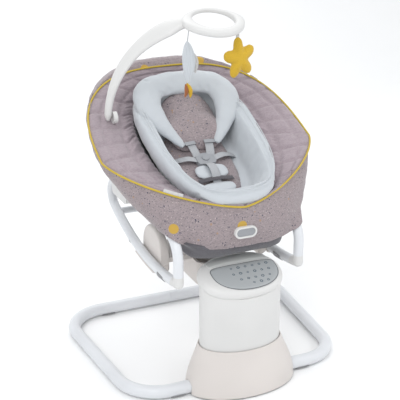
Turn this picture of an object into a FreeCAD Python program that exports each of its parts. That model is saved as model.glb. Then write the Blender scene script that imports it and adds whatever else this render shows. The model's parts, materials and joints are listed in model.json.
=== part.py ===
"""Baby swing: floor loop, drive tower, swing arm, carriage, lift-off rocker, reclining seat and toy bar.

Millimetres, +Z up. The origin lies on the floor under the middle of the whole swing, +X is the swing's
right-hand side seen from the tower, and +Y runs from the tower to the head end of the seat.
"""
import FreeCAD
import Part

import math
import os

V = FreeCAD.Vector

# ---------------------------------------------------------------- driving sizes
# floor loop
LOOP_REAR_WIDTH = 630.0        # between the tube centrelines at the rear corners
LOOP_FRONT_WIDTH = 548.0       # between the tube centrelines at the front corners
LOOP_DEPTH = 470.0
LOOP_FRONT_Y = -235.0           # centreline of the front run, under the tower
LOOP_REAR_Y = LOOP_FRONT_Y + LOOP_DEPTH
LOOP_CORNER_R = 100.0
LOOP_TUBE_D = 32.0
TUBE_WALL = 1.5
LOOP_Z = 18.0                  # centreline height
TOWER_FOOT_H = 4.0
FOOT_H = 6.0
FOOT_LEN = 34.0
JOINER_LEN = 120.0

# tower
TOWER_Y = -226.0               # middle of the oval drum
DRUM_HALF_X = 103.0
DRUM_HALF_Y = 65.0
COWL_HALF_X = 142.0
COWL_HALF_Y = 86.0
COWL_Y = -231.0
COWL_TOP = 116.0
INLET_Z = 46.0                  # power inlet, clear above the rear floor tube
SHELL_WALL = 2.5
SHELL_GAP = 1.5                # shadow gap between drum and cowl
TOP_MID_Z = 287.0              # slanted top, at the middle of the drum
TOP_SLANT = 18.5
CAP_H = 14.0
CAP_LIP = 3.0                  # how far the cap stands out past the drum
PANEL_RECESS = 3.0
PANEL_THICK = 1.6

# drive
PIVOT_Y = -215.0
SHAFT_D = 16.0
PLATE_TOP = 8.0                # upper face of the bottom plate
SHAFT_BOTTOM = 150.0
SHAFT_TOP = 262.0
BEARING_D = 30.0
BEARING_H = 8.0
PIN_CLEAR = 0.05               # radial running clearance
GEAR_MODULE = 2.0
SECTOR_TEETH = 48
PINION_TEETH = 12
SECTOR_SPAN = 84.0             # degrees of toothed rim
GEAR_THICK = 8.0
GEAR_Z = 178.0
BACKLASH = 0.35
MOTOR_D = 34.0
MOTOR_H = 42.0

# swing arm and carriage
ARM_WIDTH = 70.0
ARM_Z0 = 212.0
ARM_Z1 = 252.0
HEAD_HALF_X = 56.0
HEAD_Y0 = -115.0
HEAD_Y1 = 75.0
HEAD_Z1 = 272.0
HEAD_WALL = 7.0
ROD_D = 10.0
ROD_X = 34.0
ROD_Z = 248.0
BUSH_WALL = 3.0
CARRIAGE_Y = -20.0
CARRIAGE_LEN = 110.0
BLOCK_LEN = 84.0
TRAY_GAP = 3.0                 # between the arm's rim and the tray
TRAY_THICK = 12.0
DOCK_IN_X = 122.0
DOCK_OUT_X = 182.0
DOCK_TOP = 350.0
DOCK_LIP = 292.0
DOCK_CLEAR = 0.6

# rocker
ROCKER_X = 157.0
ROCKER_TUBE_D = 24.0
RUNNER_R = 760.0
RUNNER_Y = -62.0               # where the runner is lowest
RUNNER_Z = 270.0
LEG_Y = -222.0
LEG_BEND_R = 56.0
RAIL_Z = 396.0
REAR_BEND_R = 36.0
CROSS_TUBE_D = 18.0
HUB_Y = 130.0
HUB_LEN = 110.0
HUB_W = 40.0
HUB_BELOW = 17.0               # under the rail's centreline
HUB_ABOVE = 39.0
HUB_PIN_RISE = 27.0            # pin above the rail's centreline
HUB_PIN_D = 6.0
SEAT_ARM_W = 22.0
SEAT_ARM_THICK = 8.0
SEAT_ARM_NECK = 34.0

# seat
SEAT_TILT = 22.76
SEAT_FOOT_Y = -239.0
SEAT_FOOT_Z = 462.0
SEAT_HALF_WIDTH = 275.0
SEAT_WIDEST = 240.0            # from the foot, along the seat
SEAT_LENGTH = 593.2
SEAT_DEPTH = 150.0
COVER_EQUATOR = -16.0          # height of the widest level in the seat's frame
SKIRT_DROP = 90.0              # depth over which the cover draws in to the tub
TUB_BASE_HALF_WIDTH = 113.0
HOOP_D = 16.0
HOOP_INSET = 34.0
HOOP_FOOT = 7.0
INSERT_HALF_WIDTH = 150.0
INSERT_FOOT = 28.0
INSERT_HEAD = 520.0
INSERT_RISE = 20.0
INSERT_THICK = 24.0
INSERT_FLOOR = 46.0             # padding under the baby
INSERT_WIDEST = 0.62           # share of its length from the foot
TUB_DEPTH = 118.0
TUB_TAPER = 52.0                # how much narrower its floor is, each side
TUB_FOOT_TAPER = 32.0
TUB_HEAD_TAPER = 220.0
COVER_WALL = 14.0
SLING_THICK = 12.0
SOFT_GAP = 1.0
BUCKLE_LEN = 39.0
WEB_THICK = 2.5
HARNESS_ALONG = 221.0           # middle of the buckle, from the foot

# toy bar
BAR_D = 18.0
RING_OUT_R = 75.0
RING_IN_R = 51.0
RING_H = 24.0
RING_CENTRE = V(20, -20, 850)
BAR_FOOT = V(-216, 80, 612)
BAR_MID = V(-166, 62, 757)
SOCKET_D = 30.0


# ---------------------------------------------------------------- helpers
def save(name, shape):
    """Write one named node."""
    shape.exportStep("parts/%s.step" % name)


def box(x0, x1, y0, y1, z0, z1):
    """Axis-aligned block between two corners."""
    return Part.makeBox(x1 - x0, y1 - y0, z1 - z0, V(x0, y0, z0))


def cylinder(radius, start, end):
    """Round bar from one point to another."""
    axis = end - start
    return Part.makeCylinder(radius, axis.Length, start, axis)


def ring(outer_r, inner_r, start, end):
    """Round sleeve from one point to another."""
    return cylinder(outer_r, start, end).cut(cylinder(inner_r, start, end))


def mirror_x(shape):
    """The same piece on the other side."""
    return shape.mirror(V(0, 0, 0), V(1, 0, 0))


def ellipse_wire(half_x, half_y, middle_y, z):
    """Closed oval, long side along X."""
    oval = Part.Ellipse(V(0, middle_y, z), half_x, half_y)
    return Part.Wire([oval.toShape()])


def loft(wires):
    """Closed solid through a row of sections."""
    return Part.makeLoft(wires, True, False)


def arc_between(start, middle, end):
    """Circular edge through three points."""
    return Part.Arc(start, middle, end).toShape()


def rounded_route(points, radius):
    """Straight runs joined by tangent arcs of one radius."""
    edges = []
    here = points[0]
    for corner, after in zip(points[1:-1], points[2:]):
        inward = (here - corner).normalize()
        outward = (after - corner).normalize()
        half_turn = math.acos(max(-1.0, min(1.0, inward.dot(outward)))) / 2
        run = radius / math.tan(half_turn)
        first = corner + inward * run
        last = corner + outward * run
        bisector = (inward + outward).normalize()
        centre = corner + bisector * (radius / math.sin(half_turn))
        edges.append(Part.LineSegment(here, first).toShape())
        edges.append(arc_between(first, centre - bisector * radius, last))
        here = last
    edges.append(Part.LineSegment(here, points[-1]).toShape())
    return Part.Wire(edges)


def pipe(path, radius):
    """Solid round bar along a tangent path."""
    first = path.OrderedEdges[0]
    start = first.valueAt(first.FirstParameter)
    heading = first.tangentAt(first.FirstParameter)
    if first.Orientation == "Reversed":
        start = first.valueAt(first.LastParameter)
        heading = first.tangentAt(first.LastParameter) * -1
    profile = Part.Wire([Part.makeCircle(radius, start, heading)])
    return path.makePipeShell([profile], True, False)


def tube(path, diameter, wall):
    """Hollow round tube along a tangent path."""
    return pipe(path, diameter / 2).cut(pipe(path, diameter / 2 - wall))


def seat_place(shape):
    """Turn a piece from the seat's own frame (x, along the seat, up from its rim) into the swing's frame."""
    placed = shape.copy()
    placed.rotate(V(0, 0, 0), V(1, 0, 0), SEAT_TILT)
    placed.translate(V(0, SEAT_FOOT_Y, SEAT_FOOT_Z))
    return placed


def seat_point(x, along, up):
    """A point of the seat's own frame, in the swing's frame."""
    tilt = math.radians(SEAT_TILT)
    y = SEAT_FOOT_Y + along * math.cos(tilt) - up * math.sin(tilt)
    z = SEAT_FOOT_Z + along * math.sin(tilt) + up * math.cos(tilt)
    return V(x, y, z)


def egg_wire(half_width, foot, head, up, foot_power=1.55, widest_share=SEAT_WIDEST / SEAT_LENGTH):
    """Closed egg-shaped outline across the seat, pointed at the foot and round at the head."""
    steps = 28
    widest = foot + (head - foot) * widest_share
    points = []
    for step in range(steps):
        angle = 2 * math.pi * step / steps
        side = math.cos(angle)
        along = math.sin(angle)
        power = 2.1 if along > 0 else foot_power
        reach = (head - widest) if along > 0 else (widest - foot)
        x = half_width * math.copysign(abs(side) ** (2 / power), side)
        s = widest + reach * math.copysign(abs(along) ** (2 / power), along)
        points.append(V(x, s, up))
    curve = Part.BSplineCurve()
    curve.interpolate(Points=points, PeriodicFlag=True)
    return Part.Wire([curve.toShape()])


def slanted_slab(below, above):
    """Block between two planes parallel to the tower's slanted top, measured down from it."""
    slab = Part.makeBox(400, 400, above - below, V(-200, -200, below))
    slab.rotate(V(0, 0, 0), V(1, 0, 0), TOP_SLANT)
    slab.translate(V(0, TOWER_Y, TOP_MID_Z))
    return slab


def drum_oval(grow, bottom, top):
    """Upright oval prism about the drum's axis."""
    face = Part.Face(ellipse_wire(DRUM_HALF_X + grow, DRUM_HALF_Y + grow, TOWER_Y, bottom))
    return face.extrude(V(0, 0, top - bottom))


def pocket_oval(half_x, half_y, middle_y):
    """Upright oval prism through the tower's top, for recesses there."""
    return Part.Face(ellipse_wire(half_x, half_y, middle_y, 200)).extrude(V(0, 0, 160))


# ---------------------------------------------------------------- floor loop
def half_loop(side):
    """One bent tube, from the tower to the middle of the rear bar."""
    y_front = LOOP_FRONT_Y
    y_rear = LOOP_REAR_Y
    points = [
        V(side * (COWL_HALF_X - 34), y_front, LOOP_Z),
        V(side * LOOP_FRONT_WIDTH / 2, y_front, LOOP_Z),
        V(side * LOOP_REAR_WIDTH / 2, y_rear, LOOP_Z),
        V(side * 0.25, y_rear, LOOP_Z),
    ]
    return tube(rounded_route(points, LOOP_CORNER_R), LOOP_TUBE_D, TUBE_WALL)


def floor_tube_joiner():
    """Sleeve inside both tubes where they meet at the rear."""
    outer = LOOP_TUBE_D / 2 - TUBE_WALL - 0.1
    y = LOOP_REAR_Y
    return ring(outer, outer - 2, V(-JOINER_LEN / 2, y, LOOP_Z), V(JOINER_LEN / 2, y, LOOP_Z))


def floor_foot(x, y):
    """Rubber saddle under a floor tube."""
    outer = LOOP_TUBE_D / 2 + 2
    start = V(x - FOOT_LEN / 2, y, LOOP_Z)
    end = V(x + FOOT_LEN / 2, y, LOOP_Z)
    saddle = ring(outer, LOOP_TUBE_D / 2, start, end)
    return saddle.common(box(x - FOOT_LEN, x + FOOT_LEN, y - 30, y + 30, 0, FOOT_H + 2))


def floor_feet():
    """All rubber feet of the loop."""
    front_x = COWL_HALF_X + 26
    rear_x = LOOP_REAR_WIDTH / 2 - LOOP_CORNER_R - 30
    feet = []
    for side in (-1, 1):
        feet.append(floor_foot(side * front_x, LOOP_FRONT_Y))
        feet.append(floor_foot(side * rear_x, LOOP_REAR_Y))
    return Part.makeCompound(feet)


# ---------------------------------------------------------------- tower
def cowl_body(inset):
    """Flared lower casing, convex between the floor and the drum."""
    sections = []
    rows = 5
    for row in range(rows):
        share = row / (rows - 1)
        flare = math.cos(share * math.pi / 2) ** 1.15
        top_x = DRUM_HALF_X + SHELL_GAP + SHELL_WALL
        top_y = DRUM_HALF_Y + SHELL_GAP + SHELL_WALL
        half_x = top_x + (COWL_HALF_X - top_x) * flare - inset
        half_y = top_y + (COWL_HALF_Y - top_y) * flare - inset
        middle = TOWER_Y + (COWL_Y - TOWER_Y) * flare
        sections.append(ellipse_wire(half_x, half_y, middle, 4 + share * (COWL_TOP - 4)))
    return loft(sections)


def tower_cowl():
    """Lower casing shell with an opening for each floor tube and for the power socket."""
    shell = cowl_body(0).cut(cowl_body(SHELL_WALL))
    for side in (-1, 1):
        start = V(side * 60, LOOP_FRONT_Y, LOOP_Z)
        end = V(side * 200, LOOP_FRONT_Y, LOOP_Z)
        shell = shell.cut(cylinder(LOOP_TUBE_D / 2 + 0.5, start, end))
        reach = sorted((side * 60, side * 200))
        half = LOOP_TUBE_D / 2 + 0.5
        slot = box(reach[0], reach[1], LOOP_FRONT_Y - half, LOOP_FRONT_Y + half, 0, LOOP_Z)
        shell = shell.cut(slot)
    return shell.cut(power_socket_body(0.2))


def tower_base_plate():
    """Bottom plate with the two sockets that hold the floor tubes."""
    outline = Part.Face(ellipse_wire(COWL_HALF_X - 8, COWL_HALF_Y - 8, COWL_Y, TOWER_FOOT_H))
    plate = outline.extrude(V(0, 0, PLATE_TOP - TOWER_FOOT_H))
    y = LOOP_FRONT_Y
    for side in (-1, 1):
        inner = V(side * 84, y, LOOP_Z)
        outer = V(side * (COWL_HALF_X - 12), y, LOOP_Z)
        plate = plate.fuse(cylinder(LOOP_TUBE_D / 2 + 4, inner, outer))
    for side in (-1, 1):
        seat_start = V(side * (COWL_HALF_X - 34), y, LOOP_Z)
        plate = plate.cut(cylinder(LOOP_TUBE_D / 2 + 0.1, seat_start, V(side * 200, y, LOOP_Z)))
    low = box(-200, 200, -400, 0, TOWER_FOOT_H, 200)
    return plate.common(low).cut(tower_screws())


def tower_feet():
    """Round rubber pads under the bottom plate."""
    pads = []
    for x in (-70, 0, 70):
        for y in (COWL_Y - 48, COWL_Y + 48):
            pads.append(Part.makeCylinder(9, TOWER_FOOT_H, V(x, y, 0)))
    return Part.makeCompound(pads)


def tower_drum():
    """Upper oval casing shell with the slot that the swing arm passes through."""
    top = TOP_MID_Z + 60
    outer = drum_oval(0, COWL_TOP - 12, top)
    inner = drum_oval(-SHELL_WALL, COWL_TOP - 12, top)
    shell = outer.cut(inner)
    shell = shell.cut(slanted_slab(-CAP_H, 200))
    half_slot = ARM_WIDTH / 2 + 24
    slot = box(-half_slot, half_slot, TOWER_Y, TOWER_Y + 200, ARM_Z0 - 4, ARM_Z1 + 4)
    return shell.cut(slot)


def tower_cap():
    """Slanted lid with a raised rim and a recess for the panel."""
    lid = drum_oval(CAP_LIP, 150, 400).common(slanted_slab(-CAP_H, 0))
    floor = drum_oval(-9, 150, 400).common(slanted_slab(-PANEL_RECESS, 10))
    hollow = drum_oval(-SHELL_WALL, 150, 400).common(slanted_slab(-CAP_H - 1, -PANEL_RECESS - SHELL_WALL))
    return lid.cut(floor).cut(hollow)


def panel_outline():
    """Upright prism of the panel's D-shape: a straight rear edge and an oval front."""
    oval = pocket_oval(DRUM_HALF_X - 18, DRUM_HALF_Y - 15, TOWER_Y - 4)
    return oval.common(box(-200, 200, -500, TOWER_Y + 32, 100, 500))


def control_panel():
    """Membrane panel lying in the cap's recess."""
    return panel_outline().common(slanted_slab(-PANEL_RECESS, -PANEL_RECESS + PANEL_THICK))


def circuit_board():
    """Board under the panel."""
    prism = pocket_oval(DRUM_HALF_X - 26, DRUM_HALF_Y - 24, TOWER_Y)
    return prism.common(slanted_slab(-CAP_H - 4, -CAP_H - 2.4))


def tower_chassis():
    """Inner frame: four posts and two plates that carry the bearings and the motor."""
    lower = drum_oval(-8, SHAFT_BOTTOM, SHAFT_BOTTOM + BEARING_H)
    upper_z = ARM_Z1 + 3
    upper = box(-62, 62, PIVOT_Y - 21, PIVOT_Y + 36, upper_z, upper_z + BEARING_H)
    frame = lower.fuse(upper)
    for x in (-72, 72):
        frame = frame.fuse(box(x - 5, x + 5, TOWER_Y - 36, TOWER_Y - 26, PLATE_TOP, SHAFT_BOTTOM))
    for x in (-56, 56):
        frame = frame.fuse(box(x - 5, x + 5, PIVOT_Y + 21, PIVOT_Y + 31, PLATE_TOP, upper_z))
    for z in (SHAFT_BOTTOM, upper_z):
        frame = frame.cut(cylinder(BEARING_D / 2, V(0, PIVOT_Y, z - 1), V(0, PIVOT_Y, z + BEARING_H + 1)))
    neck = V(pinion_x(), PIVOT_Y, SHAFT_BOTTOM)
    return frame.cut(cylinder(6, neck - V(0, 0, 5), neck + V(0, 0, 20)))


def pinion_x():
    """Distance from the pivot to the pinion's axis: both pitch circles touch."""
    return GEAR_MODULE * (SECTOR_TEETH + PINION_TEETH) / 2


def bearing(z):
    """Plain bearing ring around the pivot shaft."""
    return ring(BEARING_D / 2, SHAFT_D / 2 + PIN_CLEAR, V(0, PIVOT_Y, z), V(0, PIVOT_Y, z + BEARING_H))


def drive_motor():
    """Geared motor hanging under the lower plate."""
    x = pinion_x()
    top = SHAFT_BOTTOM - 4
    can = Part.makeCylinder(MOTOR_D / 2, MOTOR_H, V(x, PIVOT_Y, top - MOTOR_H))
    neck = Part.makeCylinder(5, GEAR_Z - top - 1, V(x, PIVOT_Y, top))
    bore = Part.makeCylinder(3 + PIN_CLEAR, GEAR_Z - top + 10, V(x, PIVOT_Y, top - 8))
    return can.fuse(neck).cut(bore)


def motor_bracket():
    """Plate that carries the motor, screwed under the chassis."""
    x = pinion_x()
    plate = box(x - 24, x + 10, PIVOT_Y - 24, PIVOT_Y + 19, SHAFT_BOTTOM - 4, SHAFT_BOTTOM)
    return plate.cut(cylinder(5.2, V(x, PIVOT_Y, 100), V(x, PIVOT_Y, 200)))


def power_socket_body(grow):
    """Round inlet in the rear of the lower casing."""
    y = COWL_Y + COWL_HALF_Y - 26
    return cylinder(8 + grow, V(0, y, INLET_Z), V(0, y + 34, INLET_Z))


def power_socket():
    """Inlet barrel with its blind socket, flush with the casing."""
    barrel = power_socket_body(0).common(cowl_body(0))
    y = COWL_Y + COWL_HALF_Y
    return barrel.cut(cylinder(4, V(0, y - 16, INLET_Z), V(0, y + 40, INLET_Z)))


def tower_screws():
    """Screws that hold the bottom plate."""
    screws = []
    for x in (-96, -36, 36, 96):
        head = Part.makeCylinder(4, 2, V(x, COWL_Y, 1.9))
        shank = Part.makeCylinder(1.8, 7, V(x, COWL_Y, 3.9))
        screws.append(head.fuse(shank))
    return Part.makeCompound(screws)


# ---------------------------------------------------------------- drive gears
def involute(base_r, angle):
    """Point of an involute that starts on the X axis."""
    x = base_r * (math.cos(angle) + angle * math.sin(angle))
    y = base_r * (math.sin(angle) - angle * math.cos(angle))
    return x, y


def tooth(teeth, slack):
    """One spur tooth about the X axis, from inside the root to the tip."""
    pitch_r = GEAR_MODULE * teeth / 2
    base_r = pitch_r * math.cos(math.radians(20))
    tip_r = pitch_r + GEAR_MODULE * 0.92
    root_r = pitch_r - GEAR_MODULE * 1.2
    pitch_turn = math.sqrt((pitch_r / base_r) ** 2 - 1)
    tip_turn = math.sqrt((tip_r / base_r) ** 2 - 1)
    pitch_x, pitch_y = involute(base_r, pitch_turn)
    half = math.pi / (2 * teeth) - slack / (2 * pitch_r)
    lean = math.atan2(pitch_y, pitch_x) + half
    flank = []
    for step in range(5):
        x, y = involute(base_r, tip_turn * step / 4)
        turned_x = x * math.cos(-lean) - y * math.sin(-lean)
        turned_y = x * math.sin(-lean) + y * math.cos(-lean)
        flank.append(V(turned_x, turned_y, 0))
    inner_r = min(root_r, base_r) - 1.5
    foot_angle = math.atan2(flank[0].y, flank[0].x)
    foot = V(inner_r * math.cos(foot_angle), inner_r * math.sin(foot_angle), 0)
    low_side = [foot] + flank
    high_side = [V(p.x, -p.y, 0) for p in reversed(low_side)]
    outline = low_side + high_side + [foot]
    return Part.Face(Part.makePolygon(outline)).extrude(V(0, 0, GEAR_THICK))


def sector_gear():
    """Toothed sector that turns with the swing arm."""
    root_r = GEAR_MODULE * SECTOR_TEETH / 2 - GEAR_MODULE * 1.2
    disc = Part.makeCylinder(root_r, GEAR_THICK, V(0, 0, 0), V(0, 0, 1), SECTOR_SPAN)
    disc.rotate(V(0, 0, 0), V(0, 0, 1), -SECTOR_SPAN / 2)
    body = disc.fuse(Part.makeCylinder(16, GEAR_THICK))
    step = 360.0 / SECTOR_TEETH
    count = int(SECTOR_SPAN / step / 2)
    single = tooth(SECTOR_TEETH, BACKLASH)
    teeth = []
    for index in range(-count + 1, count):
        one = single.copy()
        one.rotate(V(0, 0, 0), V(0, 0, 1), index * step)
        teeth.append(one)
    body = body.multiFuse(teeth)
    body = body.cut(Part.makeCylinder(SHAFT_D / 2, GEAR_THICK * 3, V(0, 0, -GEAR_THICK)))
    body.translate(V(0, PIVOT_Y, GEAR_Z))
    return body


def motor_pinion():
    """Small gear on the motor's shaft, a half tooth out of step with the sector so that they mesh."""
    root_r = GEAR_MODULE * PINION_TEETH / 2 - GEAR_MODULE * 1.2
    body = Part.makeCylinder(root_r, GEAR_THICK)
    step = 360.0 / PINION_TEETH
    single = tooth(PINION_TEETH, BACKLASH)
    teeth = []
    for index in range(PINION_TEETH):
        one = single.copy()
        one.rotate(V(0, 0, 0), V(0, 0, 1), (index + 0.5) * step)
        teeth.append(one)
    body = body.multiFuse(teeth)
    body.rotate(V(0, 0, 0), V(0, 0, 1), 180)
    x = pinion_x()
    body.translate(V(x, PIVOT_Y, GEAR_Z))
    shaft = Part.makeCylinder(3, GEAR_Z - SHAFT_BOTTOM + 8, V(x, PIVOT_Y, SHAFT_BOTTOM - 8))
    return body.fuse(shaft)


# ---------------------------------------------------------------- swing arm
def pivot_shaft():
    """Upright shaft that carries the arm between the two bearings."""
    return Part.makeCylinder(SHAFT_D / 2, SHAFT_TOP - SHAFT_BOTTOM, V(0, PIVOT_Y, SHAFT_BOTTOM))


def arm_head_block(inset, top):
    """Rounded block at the arm's free end."""
    x = HEAD_HALF_X - inset
    block = box(-x, x, HEAD_Y0 + inset, HEAD_Y1 - inset, ARM_Z0 + inset, top)
    upright = [edge for edge in block.Edges if abs(edge.tangentAt(edge.FirstParameter).z) > 0.9]
    return block.makeFillet(26 - inset, upright)


def swing_arm():
    """Beam from the pivot to an open-topped trough that holds the glide rods."""
    beam = box(-ARM_WIDTH / 2, ARM_WIDTH / 2, PIVOT_Y, HEAD_Y0 + 20, ARM_Z0, ARM_Z1)
    boss = Part.makeCylinder(ARM_WIDTH / 2, ARM_Z1 - ARM_Z0, V(0, PIVOT_Y, ARM_Z0))
    solid = beam.fuse(boss).fuse(arm_head_block(0, HEAD_Z1))
    solid = solid.cut(arm_head_block(HEAD_WALL, HEAD_Z1 + 1))
    solid = solid.cut(cylinder(SHAFT_D / 2, V(0, PIVOT_Y, 0), V(0, PIVOT_Y, 400)))
    for x in (-ROD_X, ROD_X):
        solid = solid.cut(cylinder(ROD_D / 2, V(x, HEAD_Y0 + 2, ROD_Z), V(x, HEAD_Y1 - 2, ROD_Z)))
    return solid


def glide_rods():
    """Two round rods along the trough."""
    rods = []
    for x in (-ROD_X, ROD_X):
        rods.append(cylinder(ROD_D / 2, V(x, HEAD_Y0 + 2, ROD_Z), V(x, HEAD_Y1 - 2, ROD_Z)))
    return Part.makeCompound(rods)


# ---------------------------------------------------------------- carriage
def glide_bushes():
    """Plain bushes, two on each rod."""
    bushes = []
    length = 18
    for x in (-ROD_X, ROD_X):
        for y in (CARRIAGE_Y - BLOCK_LEN / 2, CARRIAGE_Y + BLOCK_LEN / 2 - length):
            outer = ROD_D / 2 + BUSH_WALL
            bushes.append(ring(outer, ROD_D / 2 + PIN_CLEAR, V(x, y, ROD_Z), V(x, y + length, ROD_Z)))
    return Part.makeCompound(bushes)


def carriage_tray():
    """Slider block in the trough, and the wide tray above it that reaches to both docks."""
    y0 = CARRIAGE_Y - BLOCK_LEN / 2
    y1 = CARRIAGE_Y + BLOCK_LEN / 2
    tray_z = HEAD_Z1 + TRAY_GAP
    block = box(-ROD_X - 11, ROD_X + 11, y0, y1, ROD_Z - 12, tray_z)
    tray_y0 = CARRIAGE_Y - CARRIAGE_LEN / 2
    tray_y1 = CARRIAGE_Y + CARRIAGE_LEN / 2
    tray = box(-DOCK_IN_X, DOCK_IN_X, tray_y0, tray_y1, tray_z, tray_z + TRAY_THICK)
    solid = block.fuse(tray)
    length = 18
    for x in (-ROD_X, ROD_X):
        solid = solid.cut(cylinder(ROD_D / 2 + 1, V(x, y0 - 1, ROD_Z), V(x, y1 + 1, ROD_Z)))
        solid = solid.cut(cylinder(ROD_D / 2 + BUSH_WALL, V(x, y0, ROD_Z), V(x, y0 + length, ROD_Z)))
        solid = solid.cut(cylinder(ROD_D / 2 + BUSH_WALL, V(x, y1 - length, ROD_Z), V(x, y1, ROD_Z)))
    return solid.removeSplitter()


def dock(side):
    """Saddle that the rocker's runner drops into, with a tall inner wing and a low outer lip."""
    y0 = CARRIAGE_Y - CARRIAGE_LEN / 2
    y1 = CARRIAGE_Y + CARRIAGE_LEN / 2
    bottom = RUNNER_Z - ROCKER_TUBE_D / 2 - 7
    body = box(DOCK_IN_X, DOCK_OUT_X, y0, y1, bottom, DOCK_TOP)
    along_y = [edge for edge in body.Edges if abs(edge.tangentAt(edge.FirstParameter).y) > 0.9]
    low_edges = [edge for edge in along_y if edge.BoundBox.ZMax < bottom + 1]
    body = body.makeFillet(14, low_edges)
    tall = [edge for edge in body.Edges if abs(edge.tangentAt(edge.FirstParameter).x) > 0.9]
    top_edges = [edge for edge in tall if edge.BoundBox.ZMin > DOCK_TOP - 1]
    body = body.makeFillet(38, top_edges)
    half = ROCKER_TUBE_D / 2 + DOCK_CLEAR
    groove = pipe(runner_path(ROCKER_X, y0 - 30, y1 + 30), half)
    body = body.cut(groove)
    runner_low = RUNNER_Z + 2
    body = body.cut(box(ROCKER_X - half, ROCKER_X + half, y0 - 5, y1 + 5, runner_low, DOCK_TOP + 20))
    body = body.cut(box(ROCKER_X, DOCK_OUT_X + 5, y0 - 5, y1 + 5, DOCK_LIP, DOCK_TOP + 20))
    return body if side > 0 else mirror_x(body)


def release_handle():
    """Lever under the rear edge of the tray that frees the rocker."""
    y = CARRIAGE_Y + CARRIAGE_LEN / 2
    z = HEAD_Z1 + TRAY_GAP + TRAY_THICK / 2
    grip = box(70, 112, y + 6, y + 34, z - 4, z + 4)
    upright = [edge for edge in grip.Edges if abs(edge.tangentAt(edge.FirstParameter).z) > 0.9]
    grip = grip.makeFillet(6, upright)
    knuckle = cylinder(5, V(82, y + 6, z), V(100, y + 6, z))
    return grip.fuse(knuckle).cut(cylinder(2 + PIN_CLEAR, V(60, y + 6, z), V(120, y + 6, z)))


def handle_pin():
    """Pin and two ears that the release handle turns on."""
    y = CARRIAGE_Y + CARRIAGE_LEN / 2
    z = HEAD_Z1 + TRAY_GAP + TRAY_THICK / 2
    pin = cylinder(2, V(64, y + 6, z), V(118, y + 6, z))
    for x0 in (64, 113):
        pin = pin.fuse(box(x0, x0 + 5, y, y + 10, z - 5, z + 5))
    return pin


# ---------------------------------------------------------------- rocker
def runner_path(x, y_start, y_end):
    """Arc of the runner between two places along Y."""
    def at(y):
        return V(x, y, RUNNER_Z + RUNNER_R - math.sqrt(RUNNER_R ** 2 - (y - RUNNER_Y) ** 2))
    return Part.Wire([arc_between(at(y_start), at((y_start + y_end) / 2), at(y_end))])


def rocker_tube_path(x):
    """Front leg, top rail, rear bend and runner of one side, as one tangent path."""
    leg_top = RAIL_Z - LEG_BEND_R
    bend_y = LEG_Y + LEG_BEND_R
    diagonal = math.sqrt(0.5)
    leg_mid = V(x, bend_y - LEG_BEND_R * diagonal, leg_top + LEG_BEND_R * diagonal)
    runner_centre_z = RUNNER_Z + RUNNER_R
    rear_z = RAIL_Z - REAR_BEND_R
    rise = runner_centre_z - rear_z
    rear_y = RUNNER_Y + math.sqrt((RUNNER_R - REAR_BEND_R) ** 2 - rise ** 2)
    touch_angle = math.atan2(rear_z - runner_centre_z, rear_y - RUNNER_Y)
    touch_y = RUNNER_Y + RUNNER_R * math.cos(touch_angle)
    touch = V(x, touch_y, runner_centre_z + RUNNER_R * math.sin(touch_angle))
    half_angle = (math.pi / 2 + touch_angle) / 2
    mid_y = rear_y + REAR_BEND_R * math.cos(half_angle)
    rear_mid = V(x, mid_y, rear_z + REAR_BEND_R * math.sin(half_angle))
    tip_start = LEG_Y + 26
    edges = [
        Part.LineSegment(V(x, LEG_Y, RUNNER_Z + 36), V(x, LEG_Y, leg_top)).toShape(),
        arc_between(V(x, LEG_Y, leg_top), leg_mid, V(x, bend_y, RAIL_Z)),
        Part.LineSegment(V(x, bend_y, RAIL_Z), V(x, rear_y, RAIL_Z)).toShape(),
        arc_between(V(x, rear_y, RAIL_Z), rear_mid, touch),
    ]
    runner = runner_path(x, tip_start, touch.y).Edges[0]
    mid_y = (tip_start + touch.y) / 2
    mid_z = runner_centre_z - math.sqrt(RUNNER_R ** 2 - (mid_y - RUNNER_Y) ** 2)
    edges.append(arc_between(touch, V(x, mid_y, mid_z), runner.valueAt(runner.FirstParameter)))
    return Part.Wire(edges)


def rocker_tube(side):
    """One bent steel tube of the rocker."""
    return tube(rocker_tube_path(side * ROCKER_X), ROCKER_TUBE_D, TUBE_WALL)


def rocker_tip(side):
    """Moulded corner that closes the tube at the front."""
    x = side * ROCKER_X
    r = ROCKER_TUBE_D / 2
    corner_z = RUNNER_Z + RUNNER_R - math.sqrt(RUNNER_R ** 2 - (LEG_Y - RUNNER_Y) ** 2)
    leg = cylinder(r, V(x, LEG_Y, corner_z), V(x, LEG_Y, RUNNER_Z + 35.9))
    run = pipe(runner_path(x, LEG_Y, LEG_Y + 25.9), r)
    ball = Part.makeSphere(r, V(x, LEG_Y, corner_z))
    return leg.fuse(run).fuse(ball)


def rear_cross_tube():
    """Tube that ties both sides together behind the seat."""
    y = RUNNER_Y + 262
    z = RUNNER_Z + RUNNER_R - math.sqrt(RUNNER_R ** 2 - (y - RUNNER_Y) ** 2)
    bar = ring(CROSS_TUBE_D / 2, CROSS_TUBE_D / 2 - TUBE_WALL, V(-ROCKER_X, y, z), V(ROCKER_X, y, z))
    for side in (-1, 1):
        bar = bar.cut(pipe(runner_path(side * ROCKER_X, y - 60, y + 8), ROCKER_TUBE_D / 2 + 0.1))
    return bar


def rocker_grips():
    """Rubber pads under the runners, in front of and behind the dock."""
    pads = []
    for side in (-1, 1):
        for y0, y1 in ((-150, -116), (80, 114)):
            path = runner_path(side * ROCKER_X, y0, y1)
            core = pipe(runner_path(side * ROCKER_X, y0 - 5, y1 + 5), ROCKER_TUBE_D / 2)
            skin = pipe(path, ROCKER_TUBE_D / 2 + 1.5).cut(core)
            lower = box(side * ROCKER_X - 30, side * ROCKER_X + 30, y0 - 9, y1 + 9, 200, RUNNER_Z + 6)
            pads.append(skin.common(lower))
    return Part.makeCompound(pads)


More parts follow.
